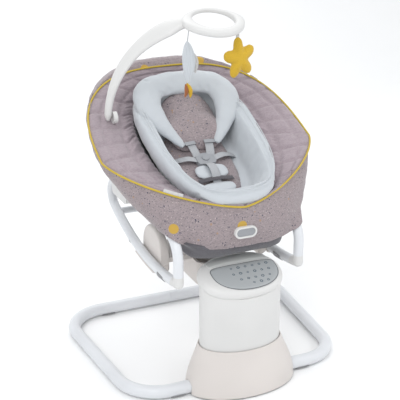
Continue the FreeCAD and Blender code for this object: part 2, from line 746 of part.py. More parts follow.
def hub(side):
    """Housing clamped on the top rail that the seat hangs and reclines on."""
    body = box(ROCKER_X - HUB_W / 2, ROCKER_X + HUB_W / 2, HUB_Y - HUB_LEN / 2, HUB_Y + HUB_LEN / 2,
               RAIL_Z - HUB_BELOW, RAIL_Z + HUB_ABOVE)
    upright = [edge for edge in body.Edges if abs(edge.tangentAt(edge.FirstParameter).x) > 0.9]
    body = body.makeFillet(16, upright)
    rail = cylinder(ROCKER_TUBE_D / 2, V(ROCKER_X, HUB_Y - 200, RAIL_Z), V(ROCKER_X, HUB_Y + 200, RAIL_Z))
    body = body.cut(rail)
    slot_half = SEAT_ARM_THICK / 2 + 2
    slot = box(ROCKER_X - slot_half, ROCKER_X + slot_half, HUB_Y - 34, HUB_Y + 34, RAIL_Z, RAIL_Z + 60)
    body = body.cut(slot)
    pin_z = RAIL_Z + HUB_PIN_RISE
    bore = cylinder(HUB_PIN_D / 2 + PIN_CLEAR, V(0, HUB_Y, pin_z), V(ROCKER_X + 100, HUB_Y, pin_z))
    body = body.cut(bore)
    return body if side > 0 else mirror_x(body)


# ---------------------------------------------------------------- seat frame
def arm_foot():
    """Middle of the recline pin in the right-hand hub."""
    return V(ROCKER_X, HUB_Y, RAIL_Z + HUB_PIN_RISE)


def arm_head():
    """Where the right-hand seat arm meets the hoop."""
    tilt = math.radians(SEAT_TILT)
    foot = arm_foot()
    along = (foot.y - SEAT_FOOT_Y) * math.cos(tilt) + (foot.z - SEAT_FOOT_Z) * math.sin(tilt)
    return seat_point(SEAT_HALF_WIDTH - HOOP_INSET, along, -HOOP_D)


def arm_blade(grow, low):
    """Bent flat bar from a height above the recline pin up to the hoop."""
    foot = arm_foot()
    head = arm_head()
    half = SEAT_ARM_THICK / 2 + grow
    knee = foot.z + SEAT_ARM_NECK
    y = foot.y - SEAT_ARM_W / 2 - grow
    outline = [
        V(foot.x - half, y, low),
        V(foot.x + half, y, low),
        V(foot.x + half, y, knee),
        V(head.x + half, y, head.z + grow),
        V(head.x - half, y, head.z + grow),
        V(foot.x - half, y, knee),
        V(foot.x - half, y, low),
    ]
    return Part.Face(Part.makePolygon(outline)).extrude(V(0, SEAT_ARM_W + 2 * grow, 0))


def seat_arm(side):
    """Flat blade from the hub up to the hoop."""
    foot = arm_foot()
    half = SEAT_ARM_THICK / 2
    eye = cylinder(SEAT_ARM_W / 2, V(foot.x - half, foot.y, foot.z), V(foot.x + half, foot.y, foot.z))
    arm = eye.fuse(arm_blade(0, foot.z))
    arm = arm.cut(cylinder(HUB_PIN_D / 2, V(0, foot.y, foot.z), V(foot.x + 100, foot.y, foot.z)))
    arm = arm.cut(hoop_local_tube())
    return arm if side > 0 else mirror_x(arm)


def hub_pins():
    """Pins through the hubs, fixed in the seat's arms."""
    pin_z = RAIL_Z + HUB_PIN_RISE
    pins = []
    for side in (-1, 1):
        inner = V(side * (ROCKER_X - HUB_W / 2 - 2), HUB_Y, pin_z)
        outer = V(side * (ROCKER_X + HUB_W / 2 + 2), HUB_Y, pin_z)
        pins.append(cylinder(HUB_PIN_D / 2, inner, outer))
    return Part.makeCompound(pins)


def hoop_path():
    """Centreline of the hoop inside the seat's padded rim."""
    return egg_wire(SEAT_HALF_WIDTH - HOOP_INSET, HOOP_FOOT, SEAT_LENGTH - HOOP_INSET, -12, 1.7)


def closed_pipe(path, radius):
    """Solid round bar along a closed path."""
    edge = path.Edges[0]
    start = edge.valueAt(edge.FirstParameter)
    profile = Part.Wire([Part.makeCircle(radius, start, edge.tangentAt(edge.FirstParameter))])
    return path.makePipeShell([profile], True, True)


def hoop_local_tube():
    """The hoop's own space, in the swing's frame."""
    return seat_place(closed_pipe(hoop_path(), HOOP_D / 2))


def seat_hoop():
    """Round hollow steel hoop that carries the seat's cover."""
    return hoop_local_tube().cut(seat_place(closed_pipe(hoop_path(), HOOP_D / 2 - TUBE_WALL)))


# ---------------------------------------------------------------- soft seat
def cover_section(below, inset):
    """Outline of the tub's outside at a depth below its widest level."""
    full = SEAT_DEPTH + COVER_EQUATOR
    share = below / full
    curve = 0.5 * (1 + math.cos(math.pi * min(below / SKIRT_DROP, 1.0)))
    half_width = TUB_BASE_HALF_WIDTH + (SEAT_HALF_WIDTH - TUB_BASE_HALF_WIDTH) * curve
    foot = -12 - 26 * math.sin(math.pi * share) + 12 * share
    head = SEAT_LENGTH - 240 * share ** 1.7
    power = 1.6 + 0.4 * share
    return egg_wire(half_width - inset, foot + inset, head - inset, COVER_EQUATOR - below, power)


def cover_outer(inset=0.0):
    """Outer form of the padded tub, in the seat's own frame, drawn in by a wall."""
    w = SEAT_HALF_WIDTH - inset
    foot = inset
    head = SEAT_LENGTH - inset
    sections = [
        egg_wire(w - 52, foot + 26, head - 52, 20, 1.7),
        egg_wire(w - 10, foot - 2, head - 8, 6, 1.6),
    ]
    rows = 6
    for row in range(rows + 1):
        sections.append(cover_section((SEAT_DEPTH + COVER_EQUATOR) * row / rows, inset))
    return loft(sections)


def tub_space(grow):
    """Hollow of the tub, widest at the rim and sloping up to the head."""
    w = INSERT_HALF_WIDTH + grow
    foot = INSERT_FOOT - grow
    head = INSERT_HEAD + grow
    return loft([
        egg_wire(w + 4, foot - 2, head + 4, 40, 2.6, INSERT_WIDEST),
        egg_wire(w, foot, head, 6, 2.6, INSERT_WIDEST),
        egg_wire(w - 22, foot + 12, head - 90, -50, 2.6, INSERT_WIDEST),
        egg_wire(w - TUB_TAPER, foot + TUB_FOOT_TAPER, head - TUB_HEAD_TAPER, -TUB_DEPTH, 2.6, INSERT_WIDEST),
    ])


def under_slab(top):
    """Everything in the seat's frame below a height."""
    return Part.makeBox(1200, 1600, 600, V(-600, -500, top - 600))


def underside_space():
    """Air between the cover's outer skirt and its inner wall, open downwards."""
    skirt_inside = cover_outer(COVER_WALL).common(under_slab(-34))
    wall = tub_space(COVER_WALL)
    half_width = INSERT_HALF_WIDTH - TUB_TAPER + COVER_WALL
    foot = INSERT_FOOT + TUB_FOOT_TAPER - COVER_WALL
    head = INSERT_HEAD - TUB_HEAD_TAPER + COVER_WALL
    levels = (-TUB_DEPTH - COVER_WALL, -TUB_DEPTH)
    wall_floor = loft([egg_wire(half_width, foot, head, up, 2.6, INSERT_WIDEST) for up in levels])
    return skirt_inside.cut(wall).cut(wall_floor)


def arm_channels():
    """Room in the soft seat for the arms and the hubs."""
    channel = arm_blade(SOFT_GAP * 2, RAIL_Z)
    hub_room = box(ROCKER_X - HUB_W / 2 - 4, ROCKER_X + HUB_W / 2 + 4, HUB_Y - HUB_LEN / 2 - 20,
                   HUB_Y + HUB_LEN / 2 + 20, 300, RAIL_Z + HUB_ABOVE + 10)
    room = channel.fuse(hub_room)
    return room.fuse(mirror_x(room))


def seat_cover():
    """Padded rim, skirt and tub wall, with a channel for the hoop and the arms."""
    body = cover_outer().cut(tub_space(0))
    body = body.cut(underside_space())
    body = body.cut(under_slab(-SEAT_DEPTH + SLING_THICK))
    body = body.cut(closed_pipe(hoop_path(), HOOP_D / 2 + SOFT_GAP))
    body = seat_place(body)
    body = body.cut(arm_channels())
    return body.cut(vibration_space()).cut(bar_socket_space())


def seat_sling():
    """Dark cloth bottom that closes the tub underneath."""
    slab = cover_outer().common(under_slab(-SEAT_DEPTH + SLING_THICK - 0.2))
    return seat_place(slab)


def insert_outer():
    """Outer form of the soft insert."""
    return tub_space(-SOFT_GAP)


def insert_space(gap=0.0):
    """Hollow of the insert where the baby lies, drawn in by a gap."""
    hollow = tub_space(-INSERT_THICK - gap)
    hollow.translate(V(0, 0, INSERT_FLOOR + gap))
    return hollow


def seat_insert():
    """Soft bolster liner that stands proud of the tub."""
    body = insert_outer().common(under_slab(INSERT_RISE))
    return seat_place(body.cut(insert_space()))


def insert_floor(lift):
    """Height of the insert's inner floor above the seat's own origin plane."""
    return -TUB_DEPTH + INSERT_FLOOR + lift


def seat_pad():
    """Thin speckled pad on the floor of the insert."""
    z = insert_floor(0.5)
    lower = egg_wire(INSERT_HALF_WIDTH - 90, INSERT_FOOT + 66, INSERT_HEAD - 258, z, 2.4)
    upper = egg_wire(INSERT_HALF_WIDTH - 92, INSERT_FOOT + 68, INSERT_HEAD - 256, z + 10, 2.4)
    return seat_place(loft([lower, upper]))


def back_place(shape):
    """Turn a piece from the backrest's frame (x, along the back, up from it) into the swing's frame."""
    lean = 27.0
    placed = shape.copy()
    placed.rotate(V(0, 0, 0), V(1, 0, 0), lean)
    placed.translate(V(0, INSERT_HEAD - 248, INSERT_FLOOR - TUB_DEPTH + 10))
    return seat_place(placed)


def head_pillow():
    """Horseshoe pillow lying on the backrest."""
    outer = egg_wire(92, 8, 236, 0, 2.0)
    outer_top = egg_wire(84, 18, 226, 24, 2.0)
    inner = egg_wire(46, -60, 132, -5, 2.0)
    inner_top = egg_wire(52, -60, 138, 40, 2.0)
    shoe = loft([outer, outer_top]).cut(loft([inner, inner_top]))
    shoe.translate(V(0, 0, 10))
    return back_place(shoe).common(seat_place(insert_space(SOFT_GAP)))


def pillow_centre():
    """Speckled middle of the head pillow."""
    low = egg_wire(40, 14, 122, 0, 2.0)
    high = egg_wire(36, 18, 118, 12, 2.0)
    pad = loft([low, high])
    pad.translate(V(0, 0, 10))
    return back_place(pad).common(seat_place(insert_space(SOFT_GAP)))


# ---------------------------------------------------------------- harness
def strap(x0, x1, s0, s1, up, thick):
    """Flat strap across the seat's own frame."""
    return seat_place(box(x0, x1, s0, s1, up, up + thick))


def shoulder_straps():
    """Two short shoulder straps from the backrest to the buckle."""
    up = insert_floor(28)
    start = HARNESS_ALONG + BUCKLE_LEN / 2 + 1
    left = strap(-34, -14, start, start + 38, up, WEB_THICK)
    right = strap(14, 34, start, start + 38, up, WEB_THICK)
    return Part.makeCompound([left, right])


def harness_buckle():
    """Plastic buckle body where the straps meet."""
    up = insert_floor(20)
    half = BUCKLE_LEN / 2
    body = box(-24, 24, HARNESS_ALONG - half, HARNESS_ALONG + half, up, up + 14)
    upright = [edge for edge in body.Edges if abs(edge.tangentAt(edge.FirstParameter).z) > 0.9]
    body = body.makeFillet(8, upright)
    pocket = Part.makeCylinder(9.5, 9, V(0, HARNESS_ALONG, up + 7))
    return seat_place(body.cut(pocket))


def buckle_button():
    """Round release button of the buckle."""
    up = insert_floor(20)
    return seat_place(Part.makeCylinder(9, 7, V(0, HARNESS_ALONG, up + 9)))


def waist_straps():
    """Two straps from the sides to the buckle."""
    up = insert_floor(22)
    start = HARNESS_ALONG - 15
    left = strap(-60, -25, start, start + 20, up, WEB_THICK)
    right = strap(25, 60, start, start + 20, up, WEB_THICK)
    return Part.makeCompound([left, right])


def crotch_strap():
    """Strap up between the legs to the buckle."""
    up = insert_floor(24.5)
    end = HARNESS_ALONG - BUCKLE_LEN / 2 - 1
    return strap(-10, 10, end - 53, end, up, WEB_THICK)


def crotch_pad():
    """Soft pad under the crotch strap."""
    up = insert_floor(11.5)
    end = HARNESS_ALONG - BUCKLE_LEN / 2 - 6
    body = box(-32, 32, end - 54, end, up, up + 12)
    upright = [edge for edge in body.Edges if abs(edge.tangentAt(edge.FirstParameter).z) > 0.9]
    return seat_place(body.makeFillet(16, upright))


# ---------------------------------------------------------------- vibration unit
VIBE_Z = 403.0
VIBE_HALF_X = 28.0
VIBE_HALF_Z = 14.0
VIBE_FRONT = -254.0


def pill(half_x, half_z, y0, y1):
    """Flat capsule facing the front."""
    r = half_z
    reach = half_x - r
    body = box(-reach, reach, y0, y1, VIBE_Z - r, VIBE_Z + r)
    for side in (-1, 1):
        body = body.fuse(cylinder(r, V(side * reach, y0, VIBE_Z), V(side * reach, y1, VIBE_Z)))
    return body.removeSplitter()


def vibration_space():
    """Room in the cover for the vibration unit."""
    return pill(VIBE_HALF_X + SOFT_GAP, VIBE_HALF_Z + SOFT_GAP, VIBE_FRONT - 60, VIBE_FRONT + 32)


def vibration_unit():
    """Housing with a raised rim around its button."""
    body = pill(VIBE_HALF_X, VIBE_HALF_Z, VIBE_FRONT, VIBE_FRONT + 30)
    return body.cut(pill(VIBE_HALF_X - 4.5, VIBE_HALF_Z - 4.5, VIBE_FRONT - 5, VIBE_FRONT + 7))


def vibration_button():
    """Capsule button in the rim."""
    return pill(VIBE_HALF_X - 5, VIBE_HALF_Z - 5, VIBE_FRONT + 1, VIBE_FRONT + 4.5)


# ---------------------------------------------------------------- toy bar
def bar_socket_space():
    """Room in the cover for the toy bar's socket and the bar's foot."""
    room = cylinder(SOCKET_D / 2 + SOFT_GAP, BAR_FOOT - V(14, 0, 0), BAR_FOOT + V(22, 0, 0))
    arc = arc_between(BAR_FOOT, BAR_MID, ring_left())
    reach = arc.valueAt(arc.FirstParameter + (arc.LastParameter - arc.FirstParameter) * 0.3)
    for turn in range(-36, 21, 8):
        swept = cylinder(BAR_D / 2 + 4, BAR_FOOT, reach)
        swept.rotate(BAR_FOOT, V(1, 0, 0), turn)
        room = room.fuse(swept)
    return room


def toy_bar_socket():
    """Round socket on the seat's side that the bar's stub turns in."""
    body = cylinder(SOCKET_D / 2, BAR_FOOT + V(12, 0, 0), BAR_FOOT + V(22, 0, 0))
    return body.cut(cylinder(5 + PIN_CLEAR, BAR_FOOT, BAR_FOOT + V(20, 0, 0)))


def ring_left():
    """Where the bar meets the ring."""
    return RING_CENTRE + V(-(RING_OUT_R + RING_IN_R) / 2, 6, 0)


def toy_bar():
    """Curved bar that rises from the socket and leans over the seat."""
    path = Part.Wire([arc_between(BAR_FOOT, BAR_MID, ring_left())])
    bar = pipe(path, BAR_D / 2)
    stub = cylinder(5, BAR_FOOT, BAR_FOOT + V(19, 0, 0))
    heel = Part.makeSphere(BAR_D / 2, BAR_FOOT)
    return bar.fuse(heel).fuse(stub).cut(ring_body(0.05))


def ring_body(grow):
    """Round band, tilted like the seat."""
    height = RING_H / 2 + grow
    band = ring(RING_OUT_R + grow, RING_IN_R - grow, V(0, 0, -height), V(0, 0, height))
    band.rotate(V(0, 0, 0), V(1, 0, 0), SEAT_TILT)
    band.translate(RING_CENTRE)
    return band


def toy_ring():
    """Band at the end of the bar that the toys hang from."""
    return ring_body(0).cut(loop_hole("leaf")).cut(loop_hole("star"))


def loop_pin(name):
    """Short crosspiece of a toy's loop, on the axis that it swings about."""
    at = hanger(name)
    return cylinder(1.5, at - V(4, 0, 0), at + V(4, 0, 0))


def hanger(name):
    """Pivot of one hanging toy, inside the ring's band."""
    spots = {"leaf": (-44, -42), "star": (78, -42)}
    x, y = spots[name]
    dy = y - RING_CENTRE.y
    return V(x, y, RING_CENTRE.z + dy * math.tan(math.radians(SEAT_TILT)) - RING_H / 2 - 2)


def loop_hole(name):
    """Slot in the ring's underside for a toy's loop."""
    at = hanger(name)
    return box(at.x - 5, at.x + 5, at.y - 6, at.y + 6, at.z - 6, at.z + 6)


def leaf_toy():
    """Flat leaf with its loop."""
    top = hanger("leaf") + V(0, 0, -18)
    r = 52
    half = 16
    offset = r - half
    blade = Part.makeCylinder(r, 8, V(offset, -4, 0), V(0, 1, 0))
    blade = blade.common(Part.makeCylinder(r, 8, V(-offset, -4, 0), V(0, 1, 0)))
    reach = math.sqrt(r ** 2 - offset ** 2)
    blade.translate(V(top.x, top.y, top.z - reach))
    loop = cylinder(1.5, top + V(0, 0, -4), hanger("leaf") + V(0, 0, 3))
    tassel = cylinder(4, top + V(0, 0, -2 * reach - 18), top + V(0, 0, -2 * reach + 3))
    return blade.fuse(loop).fuse(tassel).fuse(loop_pin("leaf"))


def star_toy():
    """Five-pointed soft star with its loop."""
    top = hanger("star") + V(0, 0, -12)
    outer = 42
    inner = 22
    points = []
    for index in range(10):
        radius = outer if index % 2 == 0 else inner
        angle = math.pi / 2 + index * math.pi / 5
        points.append(V(radius * math.cos(angle), -9, radius * math.sin(angle)))
    points.append(points[0])
    star = Part.Face(Part.makePolygon(points)).extrude(V(0, 18, 0))
    star.translate(V(top.x, top.y, top.z - outer))
    loop = cylinder(1.5, top + V(0, 0, -4), hanger("star") + V(0, 0, 3))
    return star.fuse(loop).fuse(loop_pin("star"))


# ---------------------------------------------------------------- build
def main():
    """Build and write every node."""
    os.makedirs("parts", exist_ok=True)
    save("left_floor_tube", half_loop(-1))
    save("right_floor_tube", half_loop(1))
    save("floor_tube_joiner", floor_tube_joiner())
    save("floor_feet", floor_feet())
    save("tower_feet", tower_feet())
    save("tower_cowl", tower_cowl())
    save("tower_base_plate", tower_base_plate())
    save("tower_drum", tower_drum())
    save("tower_cap", tower_cap())
    save("control_panel", control_panel())
    save("circuit_board", circuit_board())
    save("tower_chassis", tower_chassis())
    save("lower_bearing", bearing(SHAFT_BOTTOM))
    save("upper_bearing", bearing(ARM_Z1 + 3))
    save("drive_motor", drive_motor())
    save("motor_bracket", motor_bracket())
    save("power_socket", power_socket())
    save("tower_screws", tower_screws())
    save("sector_gear", sector_gear())
    save("motor_pinion", motor_pinion())
    save("pivot_shaft", pivot_shaft())
    save("swing_arm", swing_arm())
    save("glide_rods", glide_rods())
    save("glide_bushes", glide_bushes())
    save("carriage_tray", carriage_tray())
    save("left_dock", dock(-1))
    save("right_dock", dock(1))
    save("release_handle", release_handle())
    save("handle_pin", handle_pin())
    save("left_rocker_tube", rocker_tube(-1))
    save("right_rocker_tube", rocker_tube(1))
    save("left_rocker_tip", rocker_tip(-1))
    save("right_rocker_tip", rocker_tip(1))
    save("rear_cross_tube", rear_cross_tube())
    save("rocker_grips", rocker_grips())
    save("left_hub", hub(-1))
    save("right_hub", hub(1))
    save("hub_pins", hub_pins())
    save("left_seat_arm", seat_arm(-1))
    save("right_seat_arm", seat_arm(1))
    save("seat_hoop", seat_hoop())
    save("seat_cover", seat_cover())
    save("seat_sling", seat_sling())
    save("seat_insert", seat_insert())
    save("seat_pad", seat_pad())
    save("head_pillow", head_pillow())
    save("pillow_centre", pillow_centre())
    save("shoulder_straps", shoulder_straps())
    save("waist_straps", waist_straps())
    save("crotch_strap", crotch_strap())
    save("crotch_pad", crotch_pad())
    save("harness_buckle", harness_buckle())
    save("buckle_button", buckle_button())
    save("vibration_unit", vibration_unit())
    save("vibration_button", vibration_button())
    save("toy_bar_socket", toy_bar_socket())
    save("toy_bar", toy_bar())
    save("toy_ring", toy_ring())
    save("leaf_toy", leaf_toy())
    save("star_toy", star_toy())


main()
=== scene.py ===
"""Looks of a baby swing: cloth, shells, trim and finishes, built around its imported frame."""
import json
import logging
import math
from dataclasses import dataclass, field
from enum import Enum
from typing import Any, Callable, Sequence

import bmesh
import bpy
from mathutils import Matrix, Vector, noise


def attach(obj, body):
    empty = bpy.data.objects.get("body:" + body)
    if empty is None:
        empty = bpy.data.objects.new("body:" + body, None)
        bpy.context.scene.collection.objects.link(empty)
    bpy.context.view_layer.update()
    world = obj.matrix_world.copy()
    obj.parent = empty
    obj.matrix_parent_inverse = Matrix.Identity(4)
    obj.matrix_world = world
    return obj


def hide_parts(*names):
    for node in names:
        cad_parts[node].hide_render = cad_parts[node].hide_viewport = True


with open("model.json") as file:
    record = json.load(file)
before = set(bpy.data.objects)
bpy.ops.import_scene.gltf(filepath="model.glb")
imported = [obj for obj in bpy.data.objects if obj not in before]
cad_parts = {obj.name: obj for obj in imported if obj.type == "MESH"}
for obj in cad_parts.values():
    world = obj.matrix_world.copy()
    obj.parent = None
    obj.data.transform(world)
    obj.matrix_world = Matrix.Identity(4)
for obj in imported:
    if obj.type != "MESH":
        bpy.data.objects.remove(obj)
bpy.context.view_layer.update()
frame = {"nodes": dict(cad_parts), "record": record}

log = logging.getLogger("baby_swing")
Colour = tuple[float, float, float]
Knot = tuple[float, float, float]

SEAT_TILT = math.radians(22.76)
SEAT_FOOT = Vector((0.0, -0.239, 0.462))


# ------------------------------------------------------------------ shader layer
class Value:
    """A number on a shader socket, with arithmetic."""

    def __init__(self, paint: "Paint", socket: Any) -> None:
        """Keep the socket and the tree it belongs to."""
        self.paint = paint
        self.socket = socket

    def math(self, operation: str, *others: Any) -> "Value":
        """Add a Math node on this value.

        Args:
            operation: the Math node's operation.
            others: further values or numbers, in the node's order.

        Returns:
            The node's result.
        """
        inputs = {0: self}
        inputs.update({index + 1: other for index, other in enumerate(others)})
        made = self.paint.node("ShaderNodeMath", {"operation": operation}, inputs)
        return Value(self.paint, made.outputs[0])

    def __add__(self, other: Any) -> "Value":
        """Sum."""
        return self.math("ADD", other)

    __radd__ = __add__

    def __mul__(self, other: Any) -> "Value":
        """Product."""
        return self.math("MULTIPLY", other)

    __rmul__ = __mul__

    def __sub__(self, other: Any) -> "Value":
        """Difference."""
        return self.math("SUBTRACT", other)

    def __rsub__(self, other: Any) -> "Value":
        """Difference from a number."""
        return self.math("MULTIPLY", -1.0).math("ADD", other)

    def __gt__(self, other: Any) -> "Value":
        """1 where this value is larger."""
        return self.math("GREATER_THAN", other)

    def __lt__(self, other: Any) -> "Value":
        """1 where this value is smaller."""
        return self.math("LESS_THAN", other)

    def sine(self) -> "Value":
        """Sine of this value in radians."""
        return self.math("SINE")

    def ramp(self, low: float, high: float, start: float = 0.0, end: float = 1.0) -> "Value":
        """Smooth step from start to end between two levels."""
        inputs = {0: self, 1: low, 2: high, 3: start, 4: end}
        made = self.paint.node("ShaderNodeMapRange", {"interpolation_type": "SMOOTHSTEP"}, inputs)
        return Value(self.paint, made.outputs[0])


class Paint:
    """One material's node tree."""

    def __init__(self, name: str) -> None:
        """Make an empty material with a Principled shader."""
        self.material = bpy.data.materials.new(name)
        self.material.use_nodes = True
        self.tree = self.material.node_tree
        self.tree.nodes.clear()
        self.shader = self.node("ShaderNodeBsdfPrincipled")
        output = self.node("ShaderNodeOutputMaterial")
        self.tree.links.new(self.shader.outputs[0], output.inputs[0])
        place = self.node("ShaderNodeTexCoord")
        self.place = place.outputs["Object"]

    def node(self, kind: str, settings: dict[str, Any] | None = None,
             inputs: dict[int | str, Any] | None = None) -> Any:
        """Add a node.

        Args:
            kind: the node's type.
            settings: the node's own properties, set before its sockets.
            inputs: numbers, colours or links by socket name or index.

        Returns:
            The node.
        """
        made = self.tree.nodes.new(kind)
        for key, setting in (settings or {}).items():
            setattr(made, key, setting)
        for key, given in (inputs or {}).items():
            self.feed(made.inputs[key], given)
        return made

    def feed(self, socket: Any, given: Any) -> None:
        """Link or set one socket."""
        if isinstance(given, Value):
            given = given.socket
        if isinstance(given, bpy.types.NodeSocket):
            self.tree.links.new(given, socket)
        elif isinstance(given, tuple) and len(given) == 3 and socket.type == "RGBA":
            socket.default_value = (*given, 1.0)
        else:
            socket.default_value = given

    def turned(self, angles: Sequence[float], scale: Sequence[float] = (1.0, 1.0, 1.0)) -> Any:
        """Object place, turned and scaled."""
        inputs = {0: self.place, 2: tuple(angles), 3: tuple(scale)}
        return self.node("ShaderNodeMapping", {"vector_type": "POINT"}, inputs).outputs[0]

    def noise(self, scale: float, detail: float = 2.0, rough: float = 0.5, place: Any = None) -> Value:
        """Soft noise, 0 to 1, at a number of blotches per metre."""
        inputs = {"Vector": place or self.place, "Scale": scale, "Detail": detail, "Roughness": rough}
        return Value(self, self.node("ShaderNodeTexNoise", None, inputs).outputs[0])

    def cells(self, scale: float, place: Any = None) -> tuple[Value, Value]:
        """Distance to the nearest scattered point, in cells, and that cell's own random number."""
        inputs = {"Vector": place or self.place, "Scale": scale}
        made = self.node("ShaderNodeTexVoronoi", {"feature": "F1"}, inputs)
        split = self.node("ShaderNodeSeparateColor", None, {0: made.outputs["Color"]})
        return Value(self, made.outputs["Distance"]), Value(self, split.outputs[0])

    def axes(self, place: Any) -> tuple[Value, Value, Value]:
        """The three coordinates of a place."""
        made = self.node("ShaderNodeSeparateXYZ", None, {0: place})
        return tuple(Value(self, out) for out in made.outputs[:3])

    def distance(self, centre: Sequence[float]) -> Value:
        """Distance from a fixed point, in metres."""
        made = self.node("ShaderNodeVectorMath", {"operation": "DISTANCE"}, {0: self.place, 1: tuple(centre)})
        return Value(self, made.outputs["Value"])

    def blend(self, first: Any, second: Any, share: Value) -> Any:
        """Colour between two colours."""
        made = self.node("ShaderNodeMix", {"data_type": "RGBA"}, {0: share, 6: first, 7: second})
        return made.outputs[2]

    def fill(self, colour: Any, roughness: Any, height: Value | None = None, depth: float = 0.0005,
             **fixed: Any) -> bpy.types.Material:
        """Connect the shader.

        Args:
            colour: base colour or its link.
            roughness: number or value.
            height: relief between 0 and 1, if there is one.
            depth: how deep that relief is, in metres.
            fixed: other sockets that are the same all over.

        Returns:
            The finished material.
        """
        wanted = {"Base Color": colour, "Roughness": roughness}
        wanted.update({key.replace("_", " "): given for key, given in fixed.items()})
        for key, given in wanted.items():
            self.feed(self.shader.inputs[key], given)
        if height is not None:
            bump = self.node("ShaderNodeBump", None, {"Strength": 1.0, "Distance": depth, "Height": height})
            self.tree.links.new(bump.outputs[0], self.shader.inputs["Normal"])
        return self.material


# ------------------------------------------------------------------ finishes
@dataclass(frozen=True)
class PaintedTube:
    """White powder coat with a faint orange peel."""

    colour: Colour = (0.70, 0.715, 0.74)
    peel: float = 420.0

    def material(self, name: str) -> bpy.types.Material:
        """Make the finish under a name."""
        paint = Paint(name)
        blotch = paint.noise(9.0, 3.0)
        shade = tuple(c * 0.94 for c in self.colour)
        colour = paint.blend(shade, self.colour, blotch.ramp(0.3, 0.6))
        peel = paint.noise(self.peel, 1.0)
        rough = 0.30 + paint.noise(35.0, 2.0) * 0.12
        return paint.fill(colour, rough, peel, 0.00006, Coat_Weight=0.25, Coat_Roughness=0.18)


@dataclass(frozen=True)
class MouldedPlastic:
    """Moulded casing plastic with a fine spark texture."""

    colour: Colour = (0.68, 0.675, 0.665)
    roughness: float = 0.42
    grain: float = 1500.0

    def material(self, name: str) -> bpy.types.Material:
        """Make the finish under a name."""
        paint = Paint(name)
        drift = paint.noise(6.0, 2.0)
        shade = tuple(c * 0.95 for c in self.colour)
        colour = paint.blend(shade, self.colour, drift.ramp(0.35, 0.65))
        rough = self.roughness - 0.05 + paint.noise(60.0, 3.0) * 0.10
        grain = paint.noise(self.grain, 2.0, 0.6)
        return paint.fill(colour, rough, grain, 0.00005)


@dataclass(frozen=True)
class PlainMetal:
    """Drawn or turned bare metal with fine lines."""

    colour: Colour = (0.60, 0.60, 0.61)
    roughness: float = 0.34

    def material(self, name: str) -> bpy.types.Material:
        """Make the finish under a name."""
        paint = Paint(name)
        lines = paint.noise(260.0, 3.0, 0.6, paint.turned((0.3, 0.2, 0.1), (0.05, 1.0, 1.0)))
        rough = self.roughness - 0.08 + lines * 0.2
        colour = paint.blend(tuple(c * 0.86 for c in self.colour), self.colour, lines)
        return paint.fill(colour, rough, lines, 0.00003, Metallic=1.0)


@dataclass(frozen=True)
class SoftRubber:
    """Matt rubber with a slightly dusty surface."""

    colour: Colour = (0.30, 0.30, 0.31)

    def material(self, name: str) -> bpy.types.Material:
        """Make the finish under a name."""
        paint = Paint(name)
        dust = paint.noise(90.0, 4.0, 0.6)
        pale = tuple(min(1.0, c * 1.35) for c in self.colour)
        colour = paint.blend(self.colour, pale, dust.ramp(0.45, 0.8))
        return paint.fill(colour, 0.72 + dust * 0.15, paint.noise(900.0, 2.0), 0.00012)


@dataclass(frozen=True)
class Speckle:
    """One size of scattered fleck printed on cloth."""

    colour: Colour
    cells_per_metre: float
    size: float
    share: float


@dataclass(frozen=True)
class WovenCloth:
    """Heathered woven cloth, with flecks and single round dots if it is printed."""

    light: Colour
    dark: Colour
    threads: float = 620.0
    flecks: tuple[Speckle, ...] = ()
    dots: tuple[Knot, ...] = ()
    dot_size: float = 0.012
    dot_colour: Colour = (0.52, 0.33, 0.06)
    relief: float = 0.00035

    def material(self, name: str) -> bpy.types.Material:
        """Make the finish under a name."""
        paint = Paint(name)
        along = paint.turned((-SEAT_TILT, 0.0, 0.0))
        warp, weft, rise = paint.axes(along)
        turn = self.threads * math.tau / 2
        weave = (warp * turn).sine() * ((weft + rise) * turn).sine()
        heather = paint.noise(430.0, 3.0, 0.75, paint.turned((-SEAT_TILT, 0.0, 0.0), (0.35, 1.0, 1.0)))
        blotch = paint.noise(16.0, 3.0)
        share = heather.ramp(0.30, 0.70) * 0.75 + blotch * 0.25
        colour = paint.blend(self.dark, self.light, share)
        for fleck in self.flecks:
            distance, chance = paint.cells(fleck.cells_per_metre)
            mask = (distance < fleck.size) * (chance > 1.0 - fleck.share)
            colour = paint.blend(colour, fleck.colour, mask)
        for dot in self.dots:
            colour = paint.blend(colour, self.dot_colour, paint.distance(dot) < self.dot_size)
        height = weave * 0.28 + heather * 0.5
        return paint.fill(colour, 0.92, height, self.relief, Sheen_Weight=0.25, Sheen_Roughness=0.5)


@dataclass(frozen=True)
class KnitCloth:
    """Soft brushed knit."""

    colour: Colour = (0.56, 0.59, 0.62)

    def material(self, name: str) -> bpy.types.Material:
        """Make the finish under a name."""
        paint = Paint(name)
        nap = paint.noise(700.0, 4.0, 0.7)
        blotch = paint.noise(22.0, 3.0)
        colour = paint.blend(tuple(c * 0.90 for c in self.colour), self.colour, nap * 0.5 + blotch * 0.5)
        pile, _ = paint.cells(560.0)
        return paint.fill(colour, 0.95, pile * 0.6 + nap * 0.4, 0.0003, Sheen_Weight=0.4, Sheen_Roughness=0.4)


